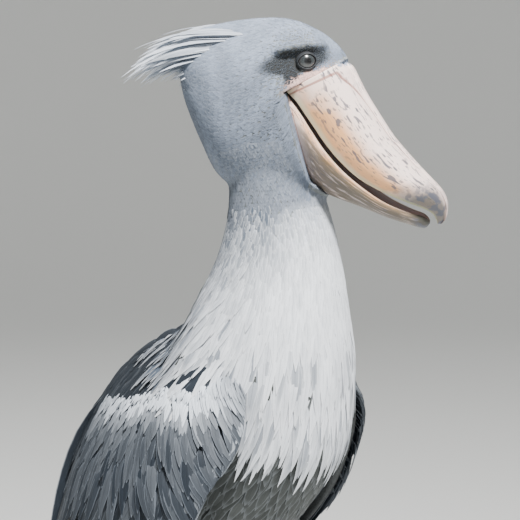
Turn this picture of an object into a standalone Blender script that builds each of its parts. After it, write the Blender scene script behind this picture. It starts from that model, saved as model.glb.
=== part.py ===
"""A shoebill standing at rest, life size, as a still model.

Metres, +Z up. The bird faces -Y, its left side is +X, and it stands on z = 0.
Lengths along the body are given as (forward, up) pairs in the side view.
"""

import math
import random

import bmesh
import bpy
import numpy as np
from mathutils import Matrix, Vector

# Driving sizes, from the species' measured ranges and the photo
BILL_HALF_WIDTH = 0.051
HEAD_TURN_DEG = 24.0
EYE_RADIUS = 0.0128
TAIL_LENGTH = 0.215
MIDDLE_TOE_LENGTH = 0.175
LEG_SPACING = 0.128
# The clearance between neighbouring pieces, and how far the origin lies behind the neck's foot
GAP = 0.0003
ORIGIN_BEHIND = 0.0190

# Rings of the body from the tail root to the inside of the head:
# forward, up, reach to the back, reach to the front, half width
BODY_RINGS = (
    (-0.222, 0.392, 0.028, 0.032, 0.034),
    (-0.195, 0.428, 0.048, 0.060, 0.068),
    (-0.158, 0.480, 0.068, 0.096, 0.100),
    (-0.112, 0.543, 0.084, 0.126, 0.118),
    (-0.066, 0.608, 0.088, 0.147, 0.127),
    (-0.022, 0.676, 0.087, 0.157, 0.128),
    (0.022, 0.742, 0.079, 0.156, 0.123),
    (0.056, 0.806, 0.076, 0.124, 0.108),
    (0.076, 0.868, 0.072, 0.094, 0.086),
    (0.083, 0.930, 0.063, 0.075, 0.068),
    (0.081, 0.985, 0.057, 0.058, 0.058),
    (0.076, 1.035, 0.054, 0.054, 0.055),
    (0.072, 1.085, 0.050, 0.050, 0.050),
)
BODY_SQUARENESS = 2.2
BACK_SLIMNESS = 0.34
NECK_BASE_RING = 8.0
NECK_TOP_RING = 9.15

# Rings of the head in its own side view, from the nape to past the face:
# top forward, top up, bottom forward, bottom up, half width
HEAD_PIVOT = (0.080, 0.0)
HEAD_RINGS = (
    (-0.112, 1.157, -0.117, 1.120, 0.016),
    (-0.098, 1.178, -0.108, 1.088, 0.036),
    (-0.064, 1.188, -0.089, 1.042, 0.052),
    (-0.026, 1.1935, -0.066, 1.000, 0.060),
    (0.013, 1.194, -0.022, 0.978, 0.062),
    (0.044, 1.1845, 0.020, 0.974, 0.061),
    (0.071, 1.1675, 0.050, 0.978, 0.058),
    (0.091, 1.144, 0.073, 0.981, 0.054),
    (0.113, 1.110, 0.096, 0.978, 0.049),
)
GAPE_CORNER = (0.019, 1.107)
CULMEN_BASE = (0.0905, 1.146)
CHIN_BASE = (0.050, 0.990)
EYE_PLACE = (0.0425, 1.143, 0.0365)
EYE_FORWARD_DEG = 22.0

# Rings of the upper bill: ridge forward, ridge up, edge forward, edge up, half width
UPPER_BILL_RINGS = (
    (0.09064, 1.14574, 0.02046, 1.10746, 0.0500),
    (0.1022, 1.1215, 0.0315, 1.0970, 0.0510),
    (0.1132, 1.1010, 0.0415, 1.0830, 0.0512),
    (0.1262, 1.0805, 0.0520, 1.0680, 0.0510),
    (0.1435, 1.0545, 0.0680, 1.0450, 0.0500),
    (0.1580, 1.0375, 0.0845, 1.0255, 0.0480),
    (0.1745, 1.0195, 0.1070, 1.0050, 0.0445),
    (0.1900, 1.0035, 0.1360, 0.9885, 0.0390),
    (0.2015, 0.9915, 0.1620, 0.9770, 0.0320),
    (0.2080, 0.9800, 0.1820, 0.9690, 0.0230),
    (0.2100, 0.9685, 0.1925, 0.9620, 0.0145),
    (0.2080, 0.9560, 0.1965, 0.9545, 0.0075),
    (0.2030, 0.9490, 0.1975, 0.9490, 0.0025),
)

# Half sections of the bill from the middle line above to the one below: height, share of half width
UPPER_BILL_SECTION = (
    (1.00, 0.00),
    (0.985, 0.13),
    (0.90, 0.19),
    (0.84, 0.40),
    (0.58, 0.74),
    (0.18, 0.95),
    (-0.35, 1.00),
    (-0.85, 0.90),
    (-1.00, 0.84),
    (-0.90, 0.60),
    (-0.84, 0.00),
)
LOWER_BILL_SECTION = (
    (0.86, 0.00),
    (0.90, 0.62),
    (1.00, 0.86),
    (0.86, 0.96),
    (0.45, 1.00),
    (-0.10, 0.90),
    (-0.60, 0.66),
    (-0.92, 0.34),
    (-1.00, 0.00),
)

# The nostril slits: place round the bill and along it, and the cutter's radii
NOSTRIL_TURN = 0.118
NOSTRIL_RUN = 0.085
NOSTRIL_RADII = (0.0090, 0.0012, 0.0030)

# Rings of the lower bill: rim forward, rim up, keel forward, keel up, half width
LOWER_BILL_RINGS = (
    (0.0197, 1.1056, 0.0503, 0.9901, 0.0440),
    (0.0375, 1.0815, 0.0570, 0.9865, 0.0465),
    (0.0500, 1.0620, 0.0650, 0.9825, 0.0470),
    (0.0675, 1.0365, 0.0820, 0.9760, 0.0460),
    (0.0930, 1.0090, 0.1060, 0.9680, 0.0425),
    (0.1300, 0.9805, 0.1370, 0.9560, 0.0350),
    (0.1600, 0.9660, 0.1650, 0.9475, 0.0260),
    (0.1790, 0.9600, 0.1810, 0.9435, 0.0165),
    (0.1885, 0.9560, 0.1885, 0.9460, 0.0070),
)

# Guide curves of the folded wing, from the shoulder to the tip: out, forward, up
WING_LEADING = (
    (0.108, 0.108, 0.752),
    (0.138, 0.119, 0.700),
    (0.170, 0.092, 0.635),
    (0.172, 0.056, 0.560),
    (0.150, -0.016, 0.470),
    (0.112, -0.110, 0.376),
    (0.068, -0.216, 0.288),
    (0.034, -0.312, 0.226),
)
WING_OUTER = (
    (0.114, 0.078, 0.788),
    (0.146, 0.040, 0.738),
    (0.156, -0.012, 0.668),
    (0.157, -0.064, 0.590),
    (0.140, -0.126, 0.502),
    (0.108, -0.196, 0.414),
    (0.067, -0.266, 0.322),
    (0.027, -0.322, 0.232),
)
WING_DORSAL = (
    (0.070, 0.020, 0.830),
    (0.036, -0.066, 0.793),
    (0.012, -0.147, 0.738),
    (0.004, -0.204, 0.670),
    (0.003, -0.248, 0.585),
    (0.004, -0.278, 0.488),
    (0.006, -0.302, 0.372),
    (0.010, -0.326, 0.238),
)
WING_ARM_DEPTH = 0.036
WING_EDGE_DEPTH = 0.004
WING_SHELL_SINK = 0.0055
WING_SHELL_END = 0.78
WING_CLEARANCE = 0.008

# Share of its half width that a feather has at each of its rings, and where the rings lie
FLIGHT_OUTLINE = (0.22, 0.80, 1.00, 0.80, 0.22)
COVERT_OUTLINE = (0.22, 1.00, 0.80, 0.22)
PLUME_OUTLINE = (0.20, 1.00, 0.66, 0.10)
CREST_OUTLINE = (0.60, 0.85, 1.00, 0.70, 0.10)
COVERT_RUNS = (0.0, 0.42, 0.86, 1.0)
FLIGHT_RUNS = (0.0, 0.30, 0.62, 0.91, 1.0)

# Tiers of the wing from the shoulder down: count, root p, first tip p, last tip p,
# first and last q at the root, first and last q at the tip, half width, lifts from root to tip
WING_TIERS = (
    (3, 0.030, 0.190, 0.200, 0.60, 0.95, 0.56, 0.93, 0.0290, (-0.016, -0.001, 0.0010, 0.0035)),
    (6, 0.060, 0.230, 0.270, 0.13, 0.93, 0.13, 0.93, 0.0250, (-0.016, -0.001, 0.0010, 0.0030)),
    (7, 0.140, 0.370, 0.400, 0.10, 0.94, 0.10, 0.94, 0.0255, (-0.016, -0.003, -0.001, 0.0032)),
    (7, 0.255, 0.550, 0.590, 0.10, 0.94, 0.09, 0.93, 0.0250, (-0.014, -0.003, -0.001, 0.0030)),
    (7, 0.400, 0.750, 0.930, 0.15, 0.93, 0.16, 0.90, 0.0215, (-0.013, -0.003, -0.0015, -0.001)),
    (6, 0.620, 1.000, 0.930, 0.05, 0.50, 0.10, 0.78, 0.0125, (-0.0100, -0.0068, -0.0062, -0.0062)),
)
VANE_THICKNESS = 0.0016
VANE_LEAN_DEG = 4.0

# Rows of breast plumes: root t, tip t, count, furthest turn from the middle of the breast
PLUME_ROWS = (
    (7.90, 6.96, 8, 0.210),
    (7.46, 6.56, 7, 0.190),
    (7.06, 6.22, 7, 0.175),
    (6.74, 5.96, 6, 0.150),
)
PLUME_HALF_WIDTH = 0.0165
MANTLE_HALF_WIDTH = 0.0190
# Rows of plumes over the shoulders and the top of the back: root t, tip t, count, furthest turn
# from the middle of the back
MANTLE_ROWS = (
    (7.92, 6.86, 7, 0.230),
    (7.35, 5.90, 4, 0.070),
)

# The crest: feathers in a row, rows, their length and half width
CREST_PER_ROW = 4
CREST_ROWS = (
    (-0.052, 1.183, 6.0, 0.138),
    (-0.060, 1.172, -5.0, 0.120),
    (-0.070, 1.157, -20.0, 0.088),
)
CREST_DROOP = 18.0
CREST_HALF_WIDTH = 0.0095

# The tail: root and tip in the side view
TAIL_ROOT = (-0.212, 0.404)
TAIL_TIP = (-0.248, 0.202)
TAIL_ROOT_HALF_WIDTH = 0.026
TAIL_TIP_HALF_WIDTH = 0.058
TAIL_HALF_THICKNESS = 0.006
TAIL_STUB_LENGTH = 0.062
RECTRICES = 12
RECTRIX_HALF_WIDTH = 0.0115
RECTRIX_SPREAD_DEG = 2.3

# The leg: forward, up, radius along the feathered thigh and the bare shank
THIGH_RINGS = (
    (0.004, 0.620, 0.020),
    (0.008, 0.580, 0.046),
    (0.008, 0.530, 0.060),
    (0.000, 0.480, 0.060),
    (-0.014, 0.430, 0.048),
    (-0.026, 0.385, 0.032),
    (-0.033, 0.355, 0.021),
    (-0.036, 0.342, 0.0165),
)
SHANK_RINGS = (
    (-0.0366, 0.3417, 0.0105),
    (-0.041, 0.312, 0.0100),
    (-0.046, 0.292, 0.0140),
    (-0.048, 0.276, 0.0175),
    (-0.045, 0.258, 0.0150),
    (-0.040, 0.236, 0.0100),
    (-0.026, 0.150, 0.0088),
    (-0.014, 0.075, 0.0092),
    (-0.008, 0.044, 0.0120),
    (-0.006, 0.0306, 0.0135),
)
FOOT_JOINT = (-0.006, 0.0)
FOOT_HEIGHT = 0.030
# Toes: length, direction from straight ahead, root half width
TOES = (
    (MIDDLE_TOE_LENGTH, 4.0, 0.0085),
    (0.130, -20.0, 0.0080),
    (0.150, 32.0, 0.0080),
    (0.088, 176.0, 0.0075),
)
CLAW_LENGTH = 0.020

PLUMAGE = ((0.42, 0.47, 0.53), 0.85)
PALE_PLUMAGE = ((0.55, 0.59, 0.64), 0.85)
DARK_PLUMAGE = ((0.22, 0.25, 0.29), 0.80)
BILL_HORN = ((0.80, 0.66, 0.53), 0.45)
EYE_GLOSS = ((0.45, 0.50, 0.50), 0.08)
LEG_SKIN = ((0.13, 0.14, 0.15), 0.60)


def side(forward, up, out=0.0):
    """The point at a place in the side view."""
    return Vector((out, -forward, up))


def spline(knots, t):
    """The value at t of a smooth curve through the knots, t running from 0 to len(knots) - 1."""
    knots = np.asarray(knots, float)
    i = min(max(int(math.floor(t)), 0), len(knots) - 2)
    f = t - i
    a, b = knots[i], knots[i + 1]
    before = knots[i - 1] if i > 0 else 2 * a - b
    after = knots[i + 2] if i + 2 < len(knots) else 2 * b - a
    cubic = 3 * (a - b) + after - before
    square = 2 * before - 5 * a + 4 * b - after
    return a + 0.5 * f * (b - before + f * (square + f * cubic))


def rounded(angle, squareness):
    """Sine and cosine of a rounded square, 2 being a circle."""
    power = 2.0 / squareness
    s, c = math.sin(angle), math.cos(angle)
    return math.copysign(abs(s) ** power, s), math.copysign(abs(c) ** power, c)


def material(name, look):
    """A plain material with the part's own colour and roughness."""
    colour, roughness = look
    made = bpy.data.materials.get(name) or bpy.data.materials.new(name)
    made.use_nodes = True
    shader = made.node_tree.nodes["Principled BSDF"]
    shader.inputs["Base Color"].default_value = (*colour, 1.0)
    shader.inputs["Roughness"].default_value = roughness
    shader.inputs["Metallic"].default_value = 0.0
    return made


def make_object(name, bm, look=None):
    """An object from a bmesh, with its faces out, shaded smooth."""
    bmesh.ops.recalc_face_normals(bm, faces=bm.faces)
    mesh = bpy.data.meshes.new(name)
    bm.to_mesh(mesh)
    bm.free()
    mesh.shade_smooth()
    obj = bpy.data.objects.new(name, mesh)
    bpy.context.scene.collection.objects.link(obj)
    if look:
        mesh.materials.append(material(*look))
    return obj


def tube(surface, around, along):
    """A closed bmesh from surface(turn, run): turn goes once round, run from end to end."""
    bm = bmesh.new()
    bmesh.ops.create_grid(bm, x_segments=around, y_segments=along, size=0.5)
    for v in bm.verts:
        v.co = surface((v.co.x + 0.5) % 1.0 if v.co.x < 0.4999 else 0.0, v.co.y + 0.5)
    bmesh.ops.remove_doubles(bm, verts=bm.verts, dist=1e-6)
    open_edges = [e for e in bm.edges if e.is_boundary]
    bmesh.ops.holes_fill(bm, edges=open_edges, sides=0)
    bmesh.ops.triangulate(bm, faces=bm.faces)
    return bm


def apply_boolean(obj, other, operation, solver="EXACT", scratch=False):
    """Joins or cuts obj by another object or by a collection's objects.

    The others are removed and obj keeps its largest piece, unless this is scratch work.
    """
    modifier = obj.modifiers.new(operation.title(), "BOOLEAN")
    modifier.operation = operation
    modifier.solver = solver
    if isinstance(other, bpy.types.Collection):
        modifier.operand_type = "COLLECTION"
        modifier.collection = other
        spent = list(other.objects)
    else:
        modifier.object = other
        spent = [other]
    graph = bpy.context.evaluated_depsgraph_get()
    mesh = bpy.data.meshes.new_from_object(obj.evaluated_get(graph))
    obj.modifiers.clear()
    obj.data = mesh
    if scratch:
        return
    for used in spent:
        bpy.data.objects.remove(used)
    keep_largest(obj)


def keep_largest(obj):
    """Drops all but the largest closed surface of a mesh."""
    bm = bmesh.new()
    bm.from_mesh(obj.data)
    left, groups = set(bm.faces), []
    while left:
        stack, group = [left.pop()], []
        while stack:
            face = stack.pop()
            group.append(face)
            for edge in face.edges:
                for other in edge.link_faces if len(edge.link_faces) == 2 else ():
                    if other in left:
                        left.remove(other)
                        stack.append(other)
        groups.append(group)
    groups.sort(key=len)
    for group in groups[:-1]:
        bmesh.ops.delete(bm, geom=group, context="FACES")
    bmesh.ops.triangulate(bm, faces=bm.faces)
    bm.to_mesh(obj.data)
    bm.free()


def fuse(obj, pieces, solver="EXACT"):
    """Joins a list of objects to obj in one union."""
    group = bpy.data.collections.new(obj.name + " pieces")
    bpy.context.scene.collection.children.link(group)
    for piece in pieces:
        bpy.context.scene.collection.objects.unlink(piece)
        group.objects.link(piece)
    apply_boolean(obj, group, "UNION", solver)
    bpy.data.collections.remove(group)


def body_point(t, turn, grow=0.0):
    """A point on the body's outline at ring t, turn 0 at the breast, 0.25 at the left side."""
    forward, up, back, front, half = spline(BODY_RINGS, t)
    step = 0.05
    ahead = spline(BODY_RINGS, min(t + step, len(BODY_RINGS) - 1))
    behind = spline(BODY_RINGS, max(t - step, 0.0))
    run = Vector((ahead[0] - behind[0], ahead[1] - behind[1])).normalized()
    s, c = rounded(turn * math.tau, BODY_SQUARENESS)
    reach = (front if c > 0 else back) + grow
    slim = BACK_SLIMNESS * min(max((7.4 - t) / 2.0, 0.0), 1.0) * min(c, 0.0) ** 2
    across = (half + grow) * s * (1.0 - slim)
    return side(forward + run.y * reach * c, up - run.x * reach * c, across)


def body_piece(name, first, last, rings, around, look, grow=0.0):
    """The stretch of the body between two rings, closed by flat ends."""
    return make_object(
        name,
        tube(lambda turn, run: body_point(first + (last - first) * run, turn, grow), around, rings),
        look,
    )


def vane(rings):
    """A feather through rings of four points: one edge, the shaft above, the other edge, below."""
    bm = bmesh.new()
    loops = [[bm.verts.new(point) for point in ring] for ring in rings]
    for near, far in zip(loops, loops[1:]):
        for k in range(4):
            after = (k + 1) % 4
            middle_is_near = k in (1, 2)
            if middle_is_near:
                bm.faces.new((near[k], near[after], far[k]))
                bm.faces.new((near[after], far[after], far[k]))
            else:
                bm.faces.new((near[k], near[after], far[after]))
                bm.faces.new((near[k], far[after], far[k]))
    for loop in (loops[0], loops[-1]):
        bm.faces.new((loop[0], loop[1], loop[3]))
        bm.faces.new((loop[1], loop[2], loop[3]))
    return make_object("vane", bm)


def free_vane(frames, half_width, outline, lean_deg=0.0):
    """A straight-edged feather along frames of (place, outward)."""
    lean = math.radians(lean_deg)
    last = len(frames) - 1
    rings = []
    for k, (place, outward) in enumerate(frames):
        ahead = frames[min(k + 1, last)][0] - frames[max(k - 1, 0)][0]
        across = ahead.cross(outward).normalized()
        rise = across.cross(ahead).normalized()
        sideways = across * math.cos(lean) + rise * math.sin(lean)
        half = half_width * outline[k]
        lens = rise * VANE_THICKNESS * (0.5 if k == last else 1.0)
        rings.append((place - sideways * half, place + lens * 0.6, place + sideways * half, place - lens * 0.4))
    return vane(rings)


def laid_vane(surface, start, end, half_width, outline, runs, lifts):
    """A feather bent to a surface(a, b, lift), from one (a, b) to another, one edge over the next."""
    tilt = half_width * math.sin(math.radians(VANE_LEAN_DEG))
    rings = []
    for share, run in zip(outline, runs):
        a = start[0] + (end[0] - start[0]) * run
        b = start[1] + (end[1] - start[1]) * run
        lift = np.interp(run, np.linspace(0, 1, len(lifts)) ** 1.35, lifts)
        step = 0.01
        width = (surface(a, b + step, lift) - surface(a, b - step, lift)).length / (2 * step)
        reach = half_width * share / width
        lens = VANE_THICKNESS * (0.5 if run == 1.0 else 1.0)
        rings.append((
            surface(a, b - reach, lift - tilt * share),
            surface(a, b, lift + 0.6 * lens),
            surface(a, b + reach, lift + tilt * share),
            surface(a, b, lift - 0.4 * lens),
        ))
    return vane(rings)


def torso_piece(name, look=None, grow=0.0):
    """The torso, or a slightly larger copy that cuts its neighbours clear of it."""
    return body_piece(name, -60 * grow, NECK_BASE_RING, 13, 26, look, grow)


def cut_clear(obj, solver="EXACT"):
    """Cuts an object back from the torso by the gap."""
    apply_boolean(obj, torso_piece("grown torso", None, 2 * GAP), "DIFFERENCE", solver)


def head_frame():
    """The head's side view turned to the bird's left about the neck's axis."""
    pivot = side(HEAD_PIVOT[0], 0.0)
    return Matrix.Translation(pivot) @ Matrix.Rotation(math.radians(HEAD_TURN_DEG), 4, "Z")


def chord_ring(rings, t):
    """Middle, half chord and half width of a ring given by its top and bottom points."""
    tf, tu, bf, bu, half = spline(rings, t)
    return side((tf + bf) / 2, (tu + bu) / 2), side((tf - bf) / 2, (tu - bu) / 2), half


def head_point(turn, run):
    """A point on the head: wide at the cheeks, narrow at the crown."""
    middle, chord, half = chord_ring(HEAD_RINGS, run * (len(HEAD_RINGS) - 1))
    s, c = rounded(turn * math.tau, 2.15)
    across = half * s * (1.0 - 0.20 * c - 0.10 * c * c)
    return middle + chord * c + Vector((across, 0, 0))


def prism(name, outline, half_width):
    """A cutter with a side-view outline, straight across the head."""
    bm = bmesh.new()
    face = bm.faces.new([bm.verts.new(side(f, u, -half_width)) for f, u in outline])
    grown = bmesh.ops.extrude_face_region(bm, geom=[face])
    moved = [v for v in grown["geom"] if isinstance(v, bmesh.types.BMVert)]
    bmesh.ops.translate(bm, verts=moved, vec=(2 * half_width, 0, 0))
    return make_object(name, bm)


def ellipsoid(name, centre, radii, turn=None, look=None, segments=24):
    """A stretched ball, optionally turned by a matrix."""
    bm = bmesh.new()
    bmesh.ops.create_uvsphere(bm, u_segments=segments, v_segments=segments // 2, radius=1.0)
    bmesh.ops.scale(bm, vec=radii, verts=bm.verts)
    bmesh.ops.transform(bm, matrix=Matrix.Translation(centre) @ (turn or Matrix.Identity(4)), verts=bm.verts)
    bmesh.ops.triangulate(bm, faces=bm.faces)
    return make_object(name, bm, look)


def eye_axis(side_sign):
    """Where an eye sits in the head's frame, and the matrix that points +Z out of it."""
    forward, up, out = EYE_PLACE
    centre = side(forward, up, side_sign * out)
    ahead = math.radians(EYE_FORWARD_DEG)
    gaze = Vector((side_sign * math.cos(ahead), -math.sin(ahead), 0.06)).normalized()
    return centre, gaze.to_track_quat("Z", "Y").to_matrix().to_4x4()


def face_cutter():
    """What the bill takes the place of: a wedge whose inner corner is the gape."""
    culmen = Vector(CULMEN_BASE) + (Vector(CULMEN_BASE) - Vector(GAPE_CORNER)) * 0.8
    keel = [(ring[2] - GAP, ring[3] - 2 * GAP) for ring in LOWER_BILL_RINGS[5:0:-1]]
    outline = [GAPE_CORNER, tuple(culmen), (0.25, 1.10), (0.25, 0.95), *keel, CHIN_BASE]
    return prism("face cutter", outline, 0.09)


def build_head():
    """The feathered head with eye sockets, lids, brows and crest."""
    head = make_object("head", tube(head_point, 22, 14), ("plumage", PLUMAGE))
    frame = head_frame()
    pieces = []
    for sign in (-1, 1):
        centre, turn = eye_axis(sign)
        hollow = ellipsoid("hollow", centre + turn @ Vector((0, 0, 0.013)), (0.024, 0.015, 0.008), turn, segments=16)
        apply_boolean(head, hollow, "DIFFERENCE")
        pieces.append(
            ellipsoid("lid", centre, (EYE_RADIUS + 0.0022,) * 3, turn, segments=10)
        )
        brow = Matrix.Rotation(math.radians(-8), 4, "X")
        place = side(EYE_PLACE[0] - 0.006, EYE_PLACE[1] + 0.0165, sign * (EYE_PLACE[2] - 0.004))
        pieces.append(ellipsoid("brow", place, (0.011, 0.034, 0.0070), brow, segments=10))
    fuse(head, pieces + crest_vanes())
    for sign in (-1, 1):
        centre, turn = eye_axis(sign)
        slot = centre + turn @ Vector((0, 0.0, 0.012))
        apply_boolean(head, ellipsoid("opening", slot, (0.0098, 0.0078, 0.010), turn, segments=12), "DIFFERENCE")
        apply_boolean(head, ellipsoid("socket", centre, (EYE_RADIUS + 2 * GAP,) * 3, turn, segments=14), "DIFFERENCE")
    head.data.transform(frame)
    first = NECK_TOP_RING + 0.006
    fuse(head, [body_piece("stub", first, len(BODY_RINGS) - 1.02, 4, 24, None)])
    apply_boolean(head, body_piece("below", 6.5, first, 3, 16, None, 0.05), "DIFFERENCE")
    cutter = face_cutter()
    cutter.data.transform(frame)
    apply_boolean(head, cutter, "DIFFERENCE")
    for sign, name in ((-1, "eye_right"), (1, "eye_left")):
        centre, turn = eye_axis(sign)
        eye = ellipsoid(name, centre, (EYE_RADIUS,) * 3, turn, ("eye", EYE_GLOSS), segments=14)
        eye.data.transform(frame)
    return head


def upper_bill_point(turn, run):
    """The upper bill: a ridge along the top, a groove each side of it, bowed walls, flat palate."""
    t = run * (len(UPPER_BILL_RINGS) - 1)
    middle, chord, half = chord_ring(UPPER_BILL_RINGS, t)
    around = 2 * turn if turn <= 0.5 else 2 * (1 - turn)
    sign = 1 if turn <= 0.5 else -1
    height, width = spline(UPPER_BILL_SECTION, around * (len(UPPER_BILL_SECTION) - 1))
    ridge = min(1.0, half / BILL_HALF_WIDTH + 0.15)
    across = half * width if around > 0.26 else half * width / ridge
    return middle + chord * height + Vector((sign * across, 0, 0))


def nostril(sign):
    """A slit cutter in the groove beside the ridge, near the feathers."""
    turn = NOSTRIL_TURN if sign > 0 else 1.0 - NOSTRIL_TURN
    start, middle, end = (upper_bill_point(turn, NOSTRIL_RUN + d) for d in (-0.03, 0.0, 0.03))
    outward = (middle - upper_bill_point(0.45, NOSTRIL_RUN)).normalized()
    along = (end - start).normalized()
    across = outward.cross(along).normalized()
    turned = Matrix((along, across, along.cross(across))).transposed().to_4x4()
    return ellipsoid("nostril", middle, NOSTRIL_RADII, turned, segments=8)


def lower_bill_point(turn, run):
    """The lower bill: a trough with a flat floor and rounded keel."""
    middle, chord, half = chord_ring(LOWER_BILL_RINGS, run * (len(LOWER_BILL_RINGS) - 1))
    around = 2 * turn if turn <= 0.5 else 2 * (1 - turn)
    sign = 1 if turn <= 0.5 else -1
    height, width = spline(LOWER_BILL_SECTION, around * (len(LOWER_BILL_SECTION) - 1))
    return middle + chord * height + Vector((sign * half * width, 0, 0))


def build_bill():
    """Both halves of the bill in the head's frame, with the nostril slits cut."""
    around = 2 * (len(UPPER_BILL_SECTION) - 1)
    upper = make_object("bill_upper", tube(upper_bill_point, around, 20), ("horn", BILL_HORN))
    around = 2 * (len(LOWER_BILL_SECTION) - 1)
    lower = make_object("bill_lower", tube(lower_bill_point, around, 14), ("horn", BILL_HORN))
    for sign in (-1, 1):
        apply_boolean(upper, nostril(sign), "DIFFERENCE")
    for piece in (upper, lower):
        piece.data.transform(head_frame())


def wing_point(p, q):
    """A point on the folded wing: p from shoulder to tip, q from the front edge over to the back."""
    t = p * (len(WING_LEADING) - 1)
    lead, outer, dorsal = (Vector(spline(g, t)) for g in (WING_LEADING, WING_OUTER, WING_DORSAL))
    place = lead * ((1 - q) * (1 - 2 * q)) + outer * (4 * q * (1 - q)) + dorsal * (q * (2 * q - 1))
    return side(place.y, place.z, place.x)


def wing_normal(p, q):
    """The outward direction of the folded wing at a place."""
    step = 0.01
    along = wing_point(p + step, q) - wing_point(p - step, q)
    across = wing_point(p, q + step) - wing_point(p, q - step)
    return along.cross(across).normalized()


def wing_depth(p, q):
    """How thick the folded wing is: the arm is deep, the feathers behind it thin."""
    arm = math.exp(-((p - 0.22) / 0.24) ** 2) * math.sin(math.pi * min(max(q, 0.0), 1.0)) ** 0.8
    wrist = math.exp(-((p - 0.12) / 0.10) ** 2 - ((q - 0.05) / 0.20) ** 2)
    return WING_EDGE_DEPTH + WING_ARM_DEPTH * arm + 0.012 * wrist


def wing_place(p, q, lift):
    """A point raised from the folded wing's outer surface."""
    return wing_point(p, q) + wing_normal(p, q) * lift


def feather_place(p, q, lift):
    """The same, kept within the wing's front and back edges."""
    return wing_place(p, min(max(q, 0.0), 0.99), lift)


def wing_sheet(name, top, margin, look=None):
    """A slab along the left wing, from its surface raised by top down through its thickness."""
    bm = bmesh.new()
    bmesh.ops.create_grid(bm, x_segments=12, y_segments=8, size=0.5)
    under = bmesh.ops.duplicate(bm, geom=bm.verts[:] + bm.edges[:] + bm.faces[:])
    lower = {v for v in under["geom"] if isinstance(v, bmesh.types.BMVert)}
    for v in bm.verts:
        p = (v.co.x + 0.5) * (WING_SHELL_END + margin) - margin / 2
        q = v.co.y * (1.0 + margin) + 0.5
        depth = WING_SHELL_SINK + wing_depth(p, q) + 0.1 * margin
        v.co = wing_place(p, q, -depth if v in lower else top)
    rim = [e for e in bm.edges if e.is_boundary]
    bmesh.ops.bridge_loops(bm, edges=rim)
    bmesh.ops.triangulate(bm, faces=bm.faces)
    return make_object(name, bm, look)


def wing_vanes(rng):
    """The left wing's feathers, tier over tier."""
    vanes = []
    for count, root, tip_a, tip_b, root_qa, root_qb, tip_qa, tip_qb, half, lifts in WING_TIERS:
        flight = tip_b > 0.85
        outline = FLIGHT_OUTLINE if flight else COVERT_OUTLINE
        runs = FLIGHT_RUNS if flight else COVERT_RUNS
        for k in range(count):
            f = k / (count - 1)
            start = (root + rng.uniform(-0.006, 0.006), root_qa + (root_qb - root_qa) * f)
            tip = min(tip_a + (tip_b - tip_a) * f + rng.uniform(-0.012, 0.012), 0.995)
            end = (tip, tip_qa + (tip_qb - tip_qa) * f)
            width = half * rng.uniform(0.94, 1.06)
            vanes.append(laid_vane(feather_place, start, end, width, outline, runs, lifts))
    return vanes


def midline_cutter():
    """A block over the bird's other half, which keeps the two wings apart."""
    bm = bmesh.new()
    bmesh.ops.create_cube(bm, size=1.0)
    bmesh.ops.translate(bm, verts=bm.verts, vec=(GAP - 0.5, 0.25, 0.5))
    return make_object("other half", bm)


def mirrored(obj, name):
    """A copy of an object on the bird's other side."""
    copy = obj.copy()
    copy.data = obj.data.copy()
    copy.name = name
    copy.data.transform(Matrix.Scale(-1, 4, (1, 0, 0)))
    copy.data.flip_normals()
    bpy.context.scene.collection.objects.link(copy)
    return copy


def build_wings():
    """Both folded wings, each cut clear of the body.

    The exact solver leaves edges of four faces where the wing's feathers graze one another.
    """
    wing = wing_sheet("wing_left", -WING_SHELL_SINK, 0.0, ("dark plumage", DARK_PLUMAGE))
    fuse(wing, wing_vanes(random.Random(11)), "MANIFOLD")
    apply_boolean(wing, midline_cutter(), "DIFFERENCE", "MANIFOLD")
    cut_clear(wing, "MANIFOLD")
    mirrored(wing, "wing_right")


def tail_stub_point(turn, run):
    """The fleshy end of the body that the tail feathers grow from."""
    root, tip = Vector(TAIL_ROOT), Vector(TAIL_TIP)
    heading = (tip - root).normalized()
    normal = Vector((-heading.y, heading.x))
    place = root + heading * TAIL_STUB_LENGTH * run
    s, c = math.sin(turn * math.tau), math.cos(turn * math.tau)
    half = TAIL_ROOT_HALF_WIDTH * (1.0 - 0.10 * run)
    place = place + normal * TAIL_HALF_THICKNESS * (2.2 - 1.3 * run) * c
    return side(place.x, place.y, half * s)


def rectrix_frames(k, length, rise):
    """Frames of the tail feather k places from the middle."""
    root, tip = Vector(TAIL_ROOT), Vector(TAIL_TIP)
    heading = (tip - root).normalized()
    normal = Vector((-heading.y, heading.x))
    outward = side(-normal.x, -normal.y) - side(0, 0)
    frames = []
    for f in FLIGHT_RUNS:
        run = 0.020 + (length - 0.020) * f
        across = k * (0.0036 + math.tan(math.radians(RECTRIX_SPREAD_DEG)) * run)
        drop = 0.0012 * abs(k) + 0.010 * (across / TAIL_TIP_HALF_WIDTH) ** 2
        place = root + heading * run - normal * (rise - drop)
        frames.append((side(place.x, place.y, across), outward))
    return frames


def build_tail():
    """The short square tail: paired feathers on a stub, the middle pair uppermost."""
    tail = make_object("tail", tube(tail_stub_point, 16, 3), ("dark plumage", DARK_PLUMAGE))
    rng = random.Random(5)
    vanes = []
    for n in range(RECTRICES):
        k = n - (RECTRICES - 1) / 2
        length = TAIL_LENGTH * (1.0 - 0.006 * abs(k)) * rng.uniform(0.985, 1.0)
        frames = rectrix_frames(k, length, 0.003)
        vanes.append(free_vane(frames, RECTRIX_HALF_WIDTH, FLIGHT_OUTLINE, math.copysign(4.0, k)))
    for rise in (0.0105, -0.0100):
        for k in (-2.9, 0.0, 2.9):
            frames = rectrix_frames(k, TAIL_LENGTH * rng.uniform(0.52, 0.60), rise)
            vanes.append(free_vane(frames, RECTRIX_HALF_WIDTH, FLIGHT_OUTLINE, math.copysign(3.0, k)))
    fuse(tail, vanes)
    cut_clear(tail)


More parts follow.
